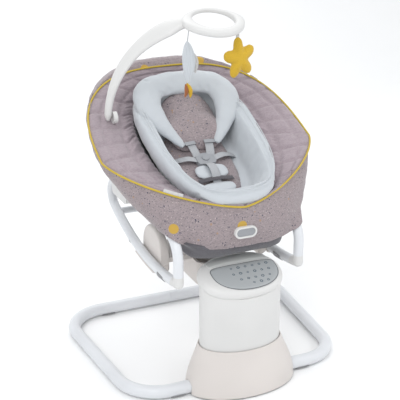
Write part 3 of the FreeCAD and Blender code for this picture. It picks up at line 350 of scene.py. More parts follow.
@dataclass(frozen=True)
class Webbing:
    """Ribbed harness tape."""

    colour: Colour = (0.44, 0.45, 0.47)
    ribs: float = 700.0

    def material(self, name: str) -> bpy.types.Material:
        """Make the finish under a name."""
        paint = Paint(name)
        across, along, rise = paint.axes(paint.turned((-SEAT_TILT, 0.0, 0.0)))
        rib = (across * (self.ribs * math.tau / 4)).sine()
        twill = ((across + along + rise) * (self.ribs * math.tau / 2)).sine()
        fuzz = paint.noise(900.0, 3.0)
        colour = paint.blend(tuple(c * 0.8 for c in self.colour), self.colour, fuzz.ramp(0.3, 0.7))
        return paint.fill(colour, 0.8, rib * 0.3 + twill * 0.2 + fuzz * 0.3, 0.0003, Sheen_Weight=0.2)


@dataclass(frozen=True)
class FeltCloth:
    """Thick felt or velour in one colour."""

    colour: Colour = (0.66, 0.42, 0.035)

    def material(self, name: str) -> bpy.types.Material:
        """Make the finish under a name."""
        paint = Paint(name)
        fibre = paint.noise(520.0, 5.0, 0.75)
        colour = paint.blend(tuple(c * 0.82 for c in self.colour), self.colour, fibre.ramp(0.3, 0.7))
        return paint.fill(colour, 0.93, fibre, 0.0005, Sheen_Weight=0.5, Sheen_Roughness=0.35)


# ------------------------------------------------------------------ mesh helpers
def seat_point(x: float, along: float, up: float) -> Vector:
    """A point given across, along and above the seat's rim plane, in the swing's frame."""
    y = SEAT_FOOT.y + along * math.cos(SEAT_TILT) - up * math.sin(SEAT_TILT)
    z = SEAT_FOOT.z + along * math.sin(SEAT_TILT) + up * math.cos(SEAT_TILT)
    return Vector((x, y, z))


def smooth(edge0: float, edge1: float, x: float) -> float:
    """Smooth step of x between two edges."""
    share = max(0.0, min(1.0, (x - edge0) / (edge1 - edge0)))
    return share * share * (3 - 2 * share)


def make_object(name: str, vertices: Sequence[Vector], faces: Sequence[Sequence[int]],
                materials: Sequence[bpy.types.Material], shades: Sequence[int] | None = None) -> Any:
    """A smooth-shaded mesh object.

    Args:
        name: the piece's name.
        vertices: its points.
        faces: point numbers of each face.
        materials: its finishes.
        shades: which finish each face takes.

    Returns:
        The object, linked to the scene.
    """
    mesh = bpy.data.meshes.new(name)
    mesh.from_pydata([tuple(v) for v in vertices], [], [tuple(f) for f in faces])
    for material in materials:
        mesh.materials.append(material)
    for index, face in enumerate(mesh.polygons):
        face.use_smooth = True
        if shades:
            face.material_index = shades[index]
    mesh.validate()
    work = bmesh.new()
    work.from_mesh(mesh)
    bmesh.ops.recalc_face_normals(work, faces=work.faces)
    work.to_mesh(mesh)
    work.free()
    shape = bpy.data.objects.new(name, mesh)
    bpy.context.scene.collection.objects.link(shape)
    return shape


def grid_faces(rows: int, columns: int, closed: bool, looped: bool = False,
               capped: bool = False) -> list[Sequence[int]]:
    """Faces of a grid of points, row by row.

    Args:
        rows: number of rows.
        columns: points in each row.
        closed: whether each row joins itself.
        looped: whether the last row joins the first.
        capped: whether the first and last rows are filled.

    Returns:
        Point numbers of each face.
    """
    faces: list[Sequence[int]] = []
    for row in range(rows if looped else rows - 1):
        for column in range(columns if closed else columns - 1):
            after = (column + 1) % columns
            here, there = row * columns, (row + 1) % rows * columns
            faces.append((here + column, here + after, there + after, there + column))
    if capped:
        faces.append(tuple(range(columns)))
        faces.append(tuple((rows - 1) * columns + column for column in range(columns)))
    return faces


def spline_point(points: Sequence[Vector], share: float) -> Vector:
    """A point on the Catmull-Rom curve through a list of points."""
    count = len(points)
    place = share * (count - 1)
    index = min(int(place), count - 2)
    t = place - index
    p0, p1, p2, p3 = (points[max(0, min(count - 1, index + step))] for step in (-1, 0, 1, 2))
    return 0.5 * (2 * p1 + (p2 - p0) * t + (2 * p0 - 5 * p1 + 4 * p2 - p3) * t * t
                  + (3 * p1 - p0 - 3 * p2 + p3) * t ** 3)


def swept(name: str, path: Sequence[Vector], sizes: Callable[[float], tuple[float, float]],
          material: bpy.types.Material, closed: bool = False, sides: int = 16,
          side_hint: Vector | None = None) -> Any:
    """A round or oval bar along a row of points.

    Args:
        name: the piece's name.
        path: points close enough together to be smooth.
        sizes: half width and half height at a share of the length.
        material: its finish.
        closed: whether the bar joins itself.
        sides: points around the bar.
        side_hint: direction that the bar's width keeps to.

    Returns:
        The object.
    """
    count = len(path)
    vertices: list[Vector] = []
    side = side_hint or Vector((0.31, 0.17, 0.93))
    for index, point in enumerate(path):
        before = path[(index - 1) % count] if closed or index else path[0]
        after = path[(index + 1) % count] if closed or index < count - 1 else path[-1]
        heading = (after - before).normalized()
        across = (side - heading * side.dot(heading)).normalized()
        upward = heading.cross(across).normalized()
        if side_hint is None:
            side = across
        half_width, half_height = sizes(index / max(1, count - 1))
        for step in range(sides):
            angle = math.tau * step / sides
            vertices.append(point + across * (half_width * math.cos(angle))
                            + upward * (half_height * math.sin(angle)))
    faces = grid_faces(count, sides, True, looped=closed)
    if not closed:
        faces.append(tuple(reversed(range(sides))))
        faces.append(tuple((count - 1) * sides + step for step in range(sides)))
    return make_object(name, vertices, faces, [material])


def placed(shape: Any, body: str, slot: str, *nodes: str) -> Any:
    """Let a piece ride on a body and stand in for nodes."""
    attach(shape, body)
    if nodes:
        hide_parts(*nodes)
    return shape


def soft(shape: Any, body: str, node: str, slot: str) -> Any:
    """Let a padded piece ride on a body and stand in for a node."""
    placed(shape, body, slot, node)
    return shape


def subdivide(shape: Any, levels: int = 1) -> Any:
    """Add a subdivision surface."""
    modifier = shape.modifiers.new("Smooth", "SUBSURF")
    modifier.levels = levels
    modifier.render_levels = levels
    return shape


def apply_modifiers(shape: Any) -> None:
    """Replace the mesh with its modified form."""
    graph = bpy.context.evaluated_depsgraph_get()
    graph.update()
    made = bpy.data.meshes.new_from_object(shape.evaluated_get(graph))
    shape.modifiers.clear()
    shape.data = made


def thickened(shape: Any, thickness: float) -> None:
    """Give a sheet its thickness."""
    thick = shape.modifiers.new("Thickness", "SOLIDIFY")
    thick.thickness = thickness
    thick.offset = -1.0
    apply_modifiers(shape)


def puffed(shape: Any, voxel: float, cap: float, pressure: float = 4.0) -> Any:
    """Fill a soft piece by cloth simulation, then smooth it.

    Args:
        shape: a closed mesh, slightly smaller than the finished piece.
        voxel: remesh size in metres.
        cap: the furthest that a point may move.
        pressure: inner pressure of the cloth.

    Returns:
        The same object with its simulated mesh.
    """
    remesh = shape.modifiers.new("Remesh", "REMESH")
    remesh.mode = "VOXEL"
    remesh.voxel_size = voxel
    remesh.use_smooth_shade = True
    materials = list(shape.data.materials)
    apply_modifiers(shape)
    rest = [v.co.copy() for v in shape.data.vertices]
    cloth = shape.modifiers.new("Cloth", "CLOTH")
    cloth.settings.use_pressure = True
    cloth.settings.uniform_pressure_force = pressure
    cloth.settings.effector_weights.gravity = 0.0
    cloth.settings.quality = 5
    scene = bpy.context.scene
    for step in range(1, 21):
        scene.frame_set(step)
    apply_modifiers(shape)
    scene.frame_set(1)
    for vertex, start in zip(shape.data.vertices, rest):
        move = vertex.co - start
        if move.length > cap:
            vertex.co = start + move.normalized() * cap
    relax = shape.modifiers.new("Relax", "SMOOTH")
    relax.iterations = 4
    apply_modifiers(shape)
    shape.data.materials.clear()
    for material in materials:
        shape.data.materials.append(material)
    for face in shape.data.polygons:
        face.use_smooth = True
    return subdivide(shape)


# ------------------------------------------------------------------ outlines of the seat
@dataclass(frozen=True)
class Rail:
    """One closed line round the seat, egg-shaped in plan, with its own height at foot, sides and head.

    Sizes are metres in the seat's own frame: across, along from the foot, and above the rim plane.
    """

    half_width: float
    foot: float
    head: float
    up_foot: float
    up_side: float
    up_head: float
    foot_power: float = 1.55
    head_power: float = 2.1
    widest: float = 0.405
    lean: float = 0.0

    def local(self, angle: float) -> Vector:
        """Across, along and up at an angle round the seat, with 0 at the right-hand side."""
        side = math.cos(angle)
        ahead = math.sin(angle)
        power = self.head_power if ahead > 0 else self.foot_power
        middle = self.foot + (self.head - self.foot) * self.widest
        reach = (self.head - middle) if ahead > 0 else (middle - self.foot)
        x = self.half_width * math.copysign(abs(side) ** (2 / power), side)
        along = middle + reach * math.copysign(abs(ahead) ** (2 / power), ahead)
        share = abs(ahead) ** 1.6
        up = self.up_side + ((self.up_head if ahead > 0 else self.up_foot) - self.up_side) * share
        return Vector((x + self.lean * share, along, up))

    def point(self, angle: float) -> Vector:
        """The same place in the swing's frame."""
        return seat_point(*self.local(angle))


TUB_FLOOR = Rail(0.085, 0.075, 0.300, -0.118, -0.118, -0.112, 2.4, 2.1, 0.6)
TUB_WALL = Rail(0.128, 0.045, 0.430, -0.070, -0.072, -0.058, 2.5, 2.1, 0.6)
INNER_EDGE = Rail(0.146, 0.024, 0.492, -0.022, -0.030, -0.008, 2.3, 2.2, 0.6)
PANEL_LOW = Rail(0.182, 0.015, 0.500, -0.008, -0.012, 0.002, 1.9, 2.4, 0.5)
PANEL_CROWN = Rail(0.226, 0.008, 0.508, 0.002, 0.002, 0.013, 1.7, 2.6, 0.45)
OUTER_TOP = Rail(0.262, 0.002, 0.517, 0.006, 0.006, 0.022, 1.46, 2.7, 0.42)
PIPING = Rail(0.274, -0.004, 0.524, 0.002, -0.001, 0.026, 1.40, 2.8, 0.41)
HEAD_CREST = Rail(0.276, -0.009, 0.548, -0.004, -0.010, 0.037, 1.48, 2.5, 0.41)
EQUATOR = Rail(0.270, -0.015, 0.588, -0.018, -0.026, 0.004, 1.8, 2.5, 0.41)
SKIRT_HIGH = Rail(0.256, -0.027, 0.586, -0.042, -0.048, -0.036, 2.2, 2.3, 0.47, 0.004)
SKIRT_LOW = Rail(0.236, -0.034, 0.550, -0.070, -0.074, -0.064, 2.8, 2.2, 0.60, 0.008)
SKIRT_HEM = Rail(0.212, -0.036, 0.505, -0.095, -0.092, -0.088, 3.4, 2.2, 0.74, 0.012)


# ------------------------------------------------------------------ sub-assemblies
class Panel(Enum):
    """Which cloth a stretch of the cover is cut from."""

    LINER = 0
    QUILTED = 1
    PRINTED = 2


@dataclass
class SeatCover:
    """The cloth cover: inner wall, quilted rim, printed head band and skirt, and the piping between them."""

    around: int = 360
    rows_per_span: int = 9
    quilt_pitch: float = 0.056
    quilt_depth: float = 0.0052
    piping_radius: float = 0.0024
    rails: tuple[Rail, ...] = (TUB_FLOOR, TUB_WALL, INNER_EDGE, PANEL_LOW, PANEL_CROWN, OUTER_TOP, PIPING,
                               HEAD_CREST, EQUATOR, SKIRT_HIGH, SKIRT_LOW, SKIRT_HEM)

    def lengths(self) -> list[float]:
        """Distance along the rim's crown at each column."""
        total = [0.0]
        for column in range(self.around):
            here = PANEL_CROWN.point(math.tau * column / self.around)
            after = PANEL_CROWN.point(math.tau * (column + 1) / self.around)
            total.append(total[-1] + (after - here).length)
        return total

    def quilting(self, distance: float, span: float) -> float:
        """How deeply a place of the rim is drawn in by its stitched channels.

        Args:
            distance: metres along the rim.
            span: place across the rim, in rails.

        Returns:
            1 on a stitched line and 0 between lines.
        """
        inner = self.rails.index(INNER_EDGE)
        outer = self.rails.index(PIPING)
        if not inner < span < outer:
            return 0.0
        turn = distance / self.quilt_pitch
        lines = [abs(turn - round(turn)) * self.quilt_pitch]
        for level in (inner + 1.15, inner + 2.35):
            lines.append(abs(span - level) * 0.036)
        return math.exp(-(min(lines) / 0.0055) ** 2)

    @staticmethod
    def draped(point: Vector) -> Vector:
        """Lift a point of the skirt clear of the rocker's front bends."""
        side = math.copysign(1.0, point.x)
        low, high = Vector((side * 0.157, -0.222, 0.350)), Vector((side * 0.157, -0.190, 0.400))
        run = high - low
        share = max(0.0, min(1.0, (point - low).dot(run) / run.length_squared))
        away = point - low - run * share
        outward = Vector((side * 0.35, -0.85, 0.38)).normalized()
        depth = away.dot(outward)
        beside = (away - outward * depth).length
        if depth > 0.017 or away.length > 0.07:
            return point
        return point + outward * ((0.017 - depth) * math.exp(-(beside / 0.020) ** 4))

    def build(self, finishes: "Finishes") -> Any:
        """Make the cover's surface."""
        spans = len(self.rails) - 1
        rows = spans * self.rows_per_span + 1
        inner = self.rails.index(INNER_EDGE)
        piping = self.rails.index(PIPING)
        turns = [math.tau * column / self.around for column in range(self.around)]
        columns = [[rail.point(turn) for rail in self.rails] for turn in turns]
        grid = [[spline_point(column, row / (rows - 1)) for column in columns] for row in range(rows)]
        along = self.lengths()
        vertices = []
        for row in range(rows):
            span = row / self.rows_per_span
            for column in range(self.around):
                point = grid[row][column]
                across = grid[min(rows - 1, row + 1)][column] - grid[max(0, row - 1)][column]
                around = grid[row][(column + 1) % self.around] - grid[row][column - 1]
                normal = across.cross(around).normalized()
                push = noise.noise(point * 34.0) * 0.0022 + noise.noise(point * 90.0) * 0.0008
                push -= self.quilting(along[column], span) * self.quilt_depth
                if inner - 0.5 < span < inner + 2.0:
                    wave = math.sin(math.tau * column / self.around * 96 + 3 * noise.noise(point * 20))
                    push += wave * 0.0014 * smooth(2.0, 0.0, span - inner)
                push *= smooth(0.0, 0.55, abs(span - piping))
                vertices.append(self.draped(point + normal * push))
        faces = grid_faces(rows, self.around, True)
        shades = []
        for row in range(rows - 1):
            span = (row + 0.5) / self.rows_per_span
            kind = Panel.PRINTED
            if span < inner:
                kind = Panel.LINER
            elif span < piping:
                kind = Panel.QUILTED
            shades.extend([kind.value] * self.around)
        cover = make_object("seat_cover_cloth", vertices, faces,
                            [finishes.liner, finishes.quilted, finishes.printed], shades)
        thickened(cover, 0.004)
        placed(cover, "seat", "taupe_cloth", "seat_cover")
        return cover

    def build_piping(self, finishes: "Finishes") -> Any:
        """Make the piping along the seam."""
        points = []
        count = 360
        for index in range(count):
            angle = math.tau * index / count
            column = [rail.point(angle) for rail in self.rails]
            last = len(self.rails) - 1
            across = spline_point(column, 6.15 / last) - spline_point(column, 5.85 / last)
            around = PIPING.point(angle + 0.01) - PIPING.point(angle - 0.01)
            points.append(PIPING.point(angle) + across.cross(around).normalized() * 0.0026)
        trim = swept("seat_piping", points, lambda share: (self.piping_radius, self.piping_radius),
                     finishes.piping, closed=True, sides=10)
        return placed(trim, "seat", "mustard_cloth")

    def build_label(self, finishes: "Finishes") -> Any:
        """Make the small folded label by the seam at the foot."""
        rows, columns = 4, 16
        vertices = []
        for row in range(rows):
            for column in range(columns):
                angle = math.radians(224.5 + 9.0 * column / (columns - 1))
                share = row / (rows - 1)
                place = spline_point([rail.point(angle) for rail in self.rails],
                                     (6.25 - 1.05 * share) / (len(self.rails) - 1))
                vertices.append(place + Vector((-0.001, -0.002, 0.0054)))
        label = make_object("seat_label", vertices, grid_faces(rows, columns, False), [finishes.pale_print])
        thickened(label, 0.0010)
        return placed(label, "seat", "light_cloth")


def column_skin(name: str, rails: Sequence[Rail], bottom: Vector, top: Vector, material: Any,
                around: int = 144, rows: int = 3) -> Any:
    """A closed soft form from a bottom point, out over its rails and in to a top point.

    Args:
        name: the piece's name.
        rails: its closed lines, in order from the bottom point to the top point.
        bottom: middle of the underside, in the seat's own frame.
        top: middle of the upper side, in the seat's own frame.
        material: its finish.
        around: points along each line.
        rows: rows between two lines.

    Returns:
        The object.
    """
    vertices = [seat_point(*bottom)]
    count = (len(rails) - 1) * rows + 1
    for row in range(count):
        for column in range(around):
            angle = math.tau * column / around
            vertices.append(spline_point([rail.point(angle) for rail in rails], row / (count - 1)))
    faces: list[Sequence[int]] = [tuple(i + 1 for i in face) for face in grid_faces(count, around, True)]
    last = 1 + (count - 1) * around
    vertices.append(seat_point(*top))
    for column in range(around):
        after = (column + 1) % around
        faces.append((0, 1 + after, 1 + column))
        faces.append((last + column, last + after, len(vertices) - 1))
    return make_object(name, vertices, faces, [material])


def creased(shape: Any, lines: Sequence[tuple[Vector, Vector]], depth: float, width: float) -> None:
    """Press folds into a soft piece along straight lines."""
    for vertex in shape.data.vertices:
        push = 0.0
        for start, end in lines:
            run = end - start
            share = max(0.0, min(1.0, (vertex.co - start).dot(run) / run.length_squared))
            away = (vertex.co - start - run * share).length
            push = max(push, math.exp(-(away / width) ** 2) * math.sin(math.pi * (0.1 + 0.8 * share)))
        vertex.co = vertex.co - vertex.normal * (depth * push)


def rumpled(shape: Any, amount: float, pitch: float) -> None:
    """Break up a soft piece's surface with shallow rumples."""
    for vertex in shape.data.vertices:
        wave = noise.noise(vertex.co / pitch) + 0.4 * noise.noise(vertex.co / (pitch * 0.4))
        vertex.co = vertex.co + vertex.normal * (amount * wave)




@dataclass
class SeatLiner:
    """The soft liner that the baby lies in: bolster walls, floor pad and dark sling underneath."""

    voxel: float = 0.005
    swell: float = 0.006
    walls: tuple[Rail, ...] = (
        Rail(0.080, 0.100, 0.380, -0.098, -0.092, -0.070, 2.6, 2.2, 0.6),
        Rail(0.104, 0.070, 0.425, -0.085, -0.078, -0.062, 2.6, 2.2, 0.6),
        Rail(0.120, 0.046, 0.460, -0.055, -0.050, -0.055, 2.6, 2.2, 0.6),
        Rail(0.130, 0.030, 0.485, -0.038, -0.038, -0.050, 2.6, 2.2, 0.6),
        Rail(0.137, 0.018, 0.498, -0.020, -0.022, -0.042, 2.5, 2.2, 0.6),
        Rail(0.146, 0.006, 0.502, 0.002, 0.002, -0.032, 2.5, 2.2, 0.6),
        Rail(0.148, 0.002, 0.502, 0.020, 0.022, -0.024, 2.6, 2.2, 0.6),
        Rail(0.140, 0.012, 0.494, 0.030, 0.031, -0.018, 2.8, 2.2, 0.6),
        Rail(0.126, 0.030, 0.480, 0.024, 0.025, -0.020, 3.2, 2.2, 0.6),
        Rail(0.114, 0.046, 0.462, 0.004, 0.004, -0.026, 3.6, 2.2, 0.6),
        Rail(0.106, 0.060, 0.440, -0.030, -0.026, -0.034, 3.6, 2.2, 0.6),
        Rail(0.098, 0.080, 0.410, -0.066, -0.058, -0.044, 3.4, 2.2, 0.6),
        Rail(0.080, 0.105, 0.370, -0.078, -0.070, -0.050, 3.0, 2.2, 0.6),
    )

    def build(self, finishes: "Finishes") -> list[Any]:
        """Make the liner, its seams, the floor pad and the sling."""
        bottom, top = Vector((0.0, 0.24, -0.098)), Vector((0.0, 0.24, -0.072))
        liner = column_skin("seat_liner", self.walls, bottom, top, finishes.knit, 120)
        puffed(liner, self.voxel, self.swell)
        rumpled(liner, 0.0022, 0.045)
        corner = [(seat_point(0.092, 0.058, 0.0), seat_point(0.128, 0.020, 0.034)),
                  (seat_point(-0.092, 0.058, 0.0), seat_point(-0.128, 0.020, 0.034))]
        creased(liner, corner, 0.006, 0.006)
        soft(liner, "seat", "seat_insert", "light_cloth")
        made = [liner]
        for index, level in enumerate((0.615, 0.655, 0.835)):
            made.append(self.seam(level, index, finishes))
        pad_rails = (Rail(0.070, 0.110, 0.350, -0.074, -0.072, -0.052, 3.0, 2.4, 0.6),
                     Rail(0.086, 0.092, 0.372, -0.070, -0.066, -0.046, 3.0, 2.4, 0.6),
                     Rail(0.074, 0.104, 0.356, -0.060, -0.056, -0.036, 3.0, 2.4, 0.6))
        pad = column_skin("seat_floor_pad", pad_rails, Vector((0, 0.23, -0.070)), Vector((0, 0.23, -0.054)),
                          finishes.printed, 96)
        puffed(pad, 0.004, 0.004)
        made.append(soft(pad, "seat", "seat_pad", "speckled_cloth"))
        made.append(self.sling(finishes))
        return made

    def seam(self, level: float, index: int, finishes: "Finishes") -> Any:
        """A raised seam round the liner at a share of the way over its wall."""
        count = 200
        points = []
        for step in range(count):
            angle = math.tau * step / count
            column = [rail.point(angle) for rail in self.walls]
            point = spline_point(column, level)
            outward = (point - spline_point(column, max(0.0, level - 0.3))).normalized()
            points.append(point + outward * self.swell * 0.75 + Vector((0, 0, 0.001)))
        seam = swept(f"liner_seam_{index}", points, lambda share: (0.0011, 0.0011), finishes.knit,
                     closed=True, sides=6)
        return placed(seam, "seat", "light_cloth")

    def sling(self, finishes: "Finishes") -> Any:
        """The dark cloth bottom under the skirt."""
        rails = (Rail(0.196, -0.028, 0.495, -0.084, -0.084, -0.082, 4.0, 2.2, 0.60),
                 Rail(0.142, -0.032, 0.460, -0.104, -0.106, -0.098, 5.0, 2.1, 0.43),
                 Rail(0.136, -0.024, 0.400, -0.128, -0.128, -0.114, 6.0, 2.1, 0.43),
                 Rail(0.124, -0.008, 0.340, -0.140, -0.134, -0.122, 5.0, 2.1, 0.43),
                 Rail(0.060, 0.060, 0.270, -0.146, -0.140, -0.128, 2.6, 2.1, 0.43))
        spare = column_skin("seat_sling_cloth", rails, Vector((0, 0.20, -0.092)), Vector((0, 0.18, -0.148)),
                            finishes.dark, 160, 4)
        rumpled(spare, 0.0035, 0.060)
        return soft(spare, "seat", "seat_sling", "dark_cloth")


@dataclass
class HeadPillow:
    """Horseshoe pillow with its speckled middle."""

    spine: tuple[Knot, ...] = (
        (-0.050, 0.258, -0.030), (-0.075, 0.290, -0.012), (-0.099, 0.332, 0.008), (-0.107, 0.378, 0.025),
        (-0.088, 0.416, 0.036), (-0.045, 0.430, 0.040), (0.0, 0.433, 0.040))
    width: float = 0.038
    thickness: float = 0.020

    def size(self, share: float) -> tuple[float, float]:
        """Half thickness and half width at a share of the spine."""
        taper = smooth(-0.03, 0.26, min(share, 1 - share))
        return self.thickness * (0.35 + 0.65 * taper), self.width * (0.25 + 0.75 * taper)

    def build(self, finishes: "Finishes") -> list[Any]:
        """Make the horseshoe and the middle."""
        mirrored = [(-x, along, up) for x, along, up in reversed(self.spine[:-1])]
        knots = [seat_point(*knot) for knot in (*self.spine, *mirrored)]
        path = [spline_point(knots, index / 80) for index in range(81)]
        normal = seat_point(0, 0, 1) - seat_point(0, 0, 0)
        shoe = swept("head_pillow_shoe", path, self.size, finishes.knit, sides=20, side_hint=normal)
        puffed(shoe, 0.005, 0.007)
        folds = [(seat_point(-0.104, 0.444, 0.060), seat_point(-0.052, 0.378, 0.034)),
                 (seat_point(-0.066, 0.462, 0.060), seat_point(-0.040, 0.390, 0.040)),
                 (seat_point(0.036, 0.462, 0.060), seat_point(0.040, 0.392, 0.040)),
                 (seat_point(0.080, 0.452, 0.060), seat_point(0.056, 0.380, 0.038))]
        creased(shoe, folds, 0.006, 0.005)
        rumpled(shoe, 0.0018, 0.04)
        soft(shoe, "seat", "head_pillow", "light_cloth")
        rails = (Rail(0.060, 0.272, 0.400, -0.052, -0.030, 0.000, 4.0, 2.8, 0.5),
                 Rail(0.075, 0.256, 0.420, -0.044, -0.018, 0.012, 4.0, 2.8, 0.5),
                 Rail(0.064, 0.264, 0.408, -0.030, -0.002, 0.024, 4.0, 2.8, 0.5))
        middle = column_skin("head_pillow_middle", rails, Vector((0, 0.34, -0.022)), Vector((0, 0.34, 0.004)),
                             finishes.printed, 96)
        puffed(middle, 0.004, 0.005)
        return [shoe, soft(middle, "seat", "pillow_centre", "speckled_cloth")]


@dataclass
class Harness:
    """Webbing straps, their adjusters and the soft pads between the legs."""

    web_half: float = 0.011
    web_thick: float = 0.0011
    slide_half: float = 0.015
    shoulder: tuple[Knot, ...] = ((0.030, 0.300, -0.034), (0.026, 0.275, -0.026), (0.021, 0.246, -0.032),
                                  (0.018, 0.232, -0.040))
    waist: tuple[Knot, ...] = ((0.022, 0.221, -0.042), (0.045, 0.224, -0.036), (0.070, 0.232, -0.046),
                               (0.088, 0.238, -0.058))
    slide: tuple[Knot, ...] = ((0.0265, 0.272, -0.0235), (0.0255, 0.260, -0.0235))

    def ribbon(self, name: str, knots: Sequence[Knot], finish: Any,
               half: float | None = None) -> Any:
        """One flat strap through points of the seat's own frame."""
        points = [seat_point(*knot) for knot in knots]
        path = [spline_point(points, index / 24) for index in range(25)]
        normal = seat_point(0, 0, 1) - seat_point(0, 0, 0)
        wide = half or self.web_half
        return swept(name, path, lambda share: (self.web_thick, wide), finish, sides=12, side_hint=normal)

    def cushion(self, name: str, half: float, foot: float, head: float, up: float, finish: Any) -> Any:
        """A small flat cushion."""
        rails = []
        for share, inset, rise in ((0.85, 0.006, 0.0), (1.0, 0.0, 0.005), (0.88, 0.006, 0.010)):
            level = up + rise
            rails.append(Rail(half * share, foot + inset, head - inset, level, level, level, 3.0, 3.0, 0.5))
        middle = (foot + head) / 2
        piece = column_skin(name, rails, Vector((0, middle, up)), Vector((0, middle, up + 0.010)), finish, 64)
        return puffed(piece, 0.003, 0.004)

    def build(self, finishes: "Finishes") -> list[Any]:
        """Make the straps and pads."""
        made = []
        for side, label in ((-1, "left"), (1, "right")):
            knots = [(side * x, along, up) for x, along, up in self.shoulder]
            made.append(self.ribbon(f"shoulder_strap_{label}", knots, finishes.webbing))
            knots = [(side * x, along, up) for x, along, up in self.waist]
            made.append(self.ribbon(f"waist_strap_{label}", knots, finishes.webbing, 0.009))
            knots = [(side * x, along, up) for x, along, up in self.slide]
            slide = self.ribbon(f"strap_slide_{label}", knots, finishes.grey, self.slide_half)
            made.append(slide)
        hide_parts("shoulder_straps")
        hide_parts("waist_straps")
        crotch = self.ribbon("crotch_strap_web", [(0, 0.203, -0.040), (0, 0.185, -0.030), (0, 0.160, -0.032),
                                                  (0, 0.138, -0.048)], finishes.webbing)
        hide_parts("crotch_strap")
        made.append(crotch)
        knots = [(-0.046, 0.148, -0.046), (0, 0.146, -0.038), (0.046, 0.148, -0.046)]
        band = self.ribbon("crotch_band", knots, finishes.liner, 0.007)
        made.append(band)
        for piece in made:
            placed(piece, "seat", "strap_web")
        upper = self.cushion("crotch_pad_upper", 0.043, 0.152, 0.204, -0.050, finishes.knit)
        creased(upper, [(seat_point(0, 0.14, -0.036), seat_point(0, 0.205, -0.036))], 0.006, 0.010)
        lower = self.cushion("crotch_pad_lower", 0.043, 0.104, 0.142, -0.054, finishes.knit)
        made.append(soft(upper, "seat", "crotch_pad", "light_cloth"))
        placed(lower, "seat", "light_cloth")
        made.append(lower)
        return made


def arc_points(start: Vector, middle: Vector, end: Vector, count: int) -> list[Vector]:
    """Evenly spaced points of the circle arc through three points."""
    a, b = middle - start, end - start
    normal = a.cross(b)
    centre = start + (b.length_squared * normal.cross(a) + a.length_squared * b.cross(normal)) / (
        2 * normal.length_squared)
    arm = start - centre
    axis = normal.normalized()
    total = arm.angle(end - centre)
    return [centre + Matrix.Rotation(total * index / (count - 1), 3, axis) @ arm for index in range(count)]


@dataclass
class ToyBar:
    """Moulded bar with a ring at its end."""

    foot: Vector = field(default_factory=lambda: Vector((-0.216, 0.080, 0.612)))
    middle: Vector = field(default_factory=lambda: Vector((-0.166, 0.062, 0.757)))
    centre: Vector = field(default_factory=lambda: Vector((0.020, -0.020, 0.850)))
    inner: float = 0.0515
    outer: float = 0.0745
    half_height: float = 0.0095
    tilt: float = math.radians(16.0)
    wide_axis: Vector = field(default_factory=lambda: Vector((-0.12, 0.90, 0.36)))

    def build(self, finishes: "Finishes") -> list[Any]:
        """Make the bar and the ring."""
        joint = self.centre + Vector((-(self.inner + self.outer) / 2 + 0.004, 0.004, 0.0))
        path = arc_points(self.foot, self.middle, joint, 60)
        path.insert(0, self.foot + Vector((0.0, -0.001, -0.006)))
        bar = swept("toy_bar_body", path, self.bar_size, finishes.casing, sides=28, side_hint=self.wide_axis)
        placed(bar, "toy_bar", "white_plastic", "toy_bar")
        ring = self.ring(finishes)
        return [bar, ring]

    @staticmethod
    def bar_size(share: float) -> tuple[float, float]:
        """Half width and half thickness along the bar."""
        end = smooth(0.0, 0.04, share)
        wide = 0.0100 + 0.0090 * smooth(0.0, 0.5, share) + 0.006 * smooth(0.5, 0.8, share)
        wide -= 0.014 * smooth(0.84, 1.0, share)
        thick = 0.0085 + 0.0015 * smooth(0.2, 0.9, share)
        return wide * (0.45 + 0.55 * end), thick * (0.45 + 0.55 * end)

    def ring(self, finishes: "Finishes") -> Any:
        """The ring, drawn out towards the bar."""
        along = Vector((0, math.cos(self.tilt), math.sin(self.tilt)))
        normal = Vector((0, -math.sin(self.tilt), math.cos(self.tilt)))
        rows, sides = 128, 24
        vertices = []
        for row in range(rows):
            angle = math.tau * row / rows
            radial = Vector((1, 0, 0)) * math.cos(angle) + along * math.sin(angle)
            turn = math.atan2(math.sin(angle - math.pi), math.cos(angle - math.pi))
            rear = smooth(-0.35, 1.0, math.sin(angle))
            reach = self.outer - 0.014 * rear + 0.008 * math.exp(-(turn / 0.6) ** 2)
            half = (reach - self.inner) / 2
            height = self.half_height * (1 - 0.45 * rear)
            middle = self.centre + radial * (self.inner + half)
            for side in range(sides):
                a = math.tau * side / sides
                across = math.copysign(abs(math.cos(a)) ** 0.7, math.cos(a)) * half
                upward = math.copysign(abs(math.sin(a)) ** 0.6, math.sin(a)) * height
                vertices.append(middle + radial * across + normal * upward)
        ring = make_object("toy_ring_body", vertices, grid_faces(rows, sides, True, looped=True),
                           [finishes.casing])
        return placed(ring, "toy_bar", "white_plastic", "toy_ring")


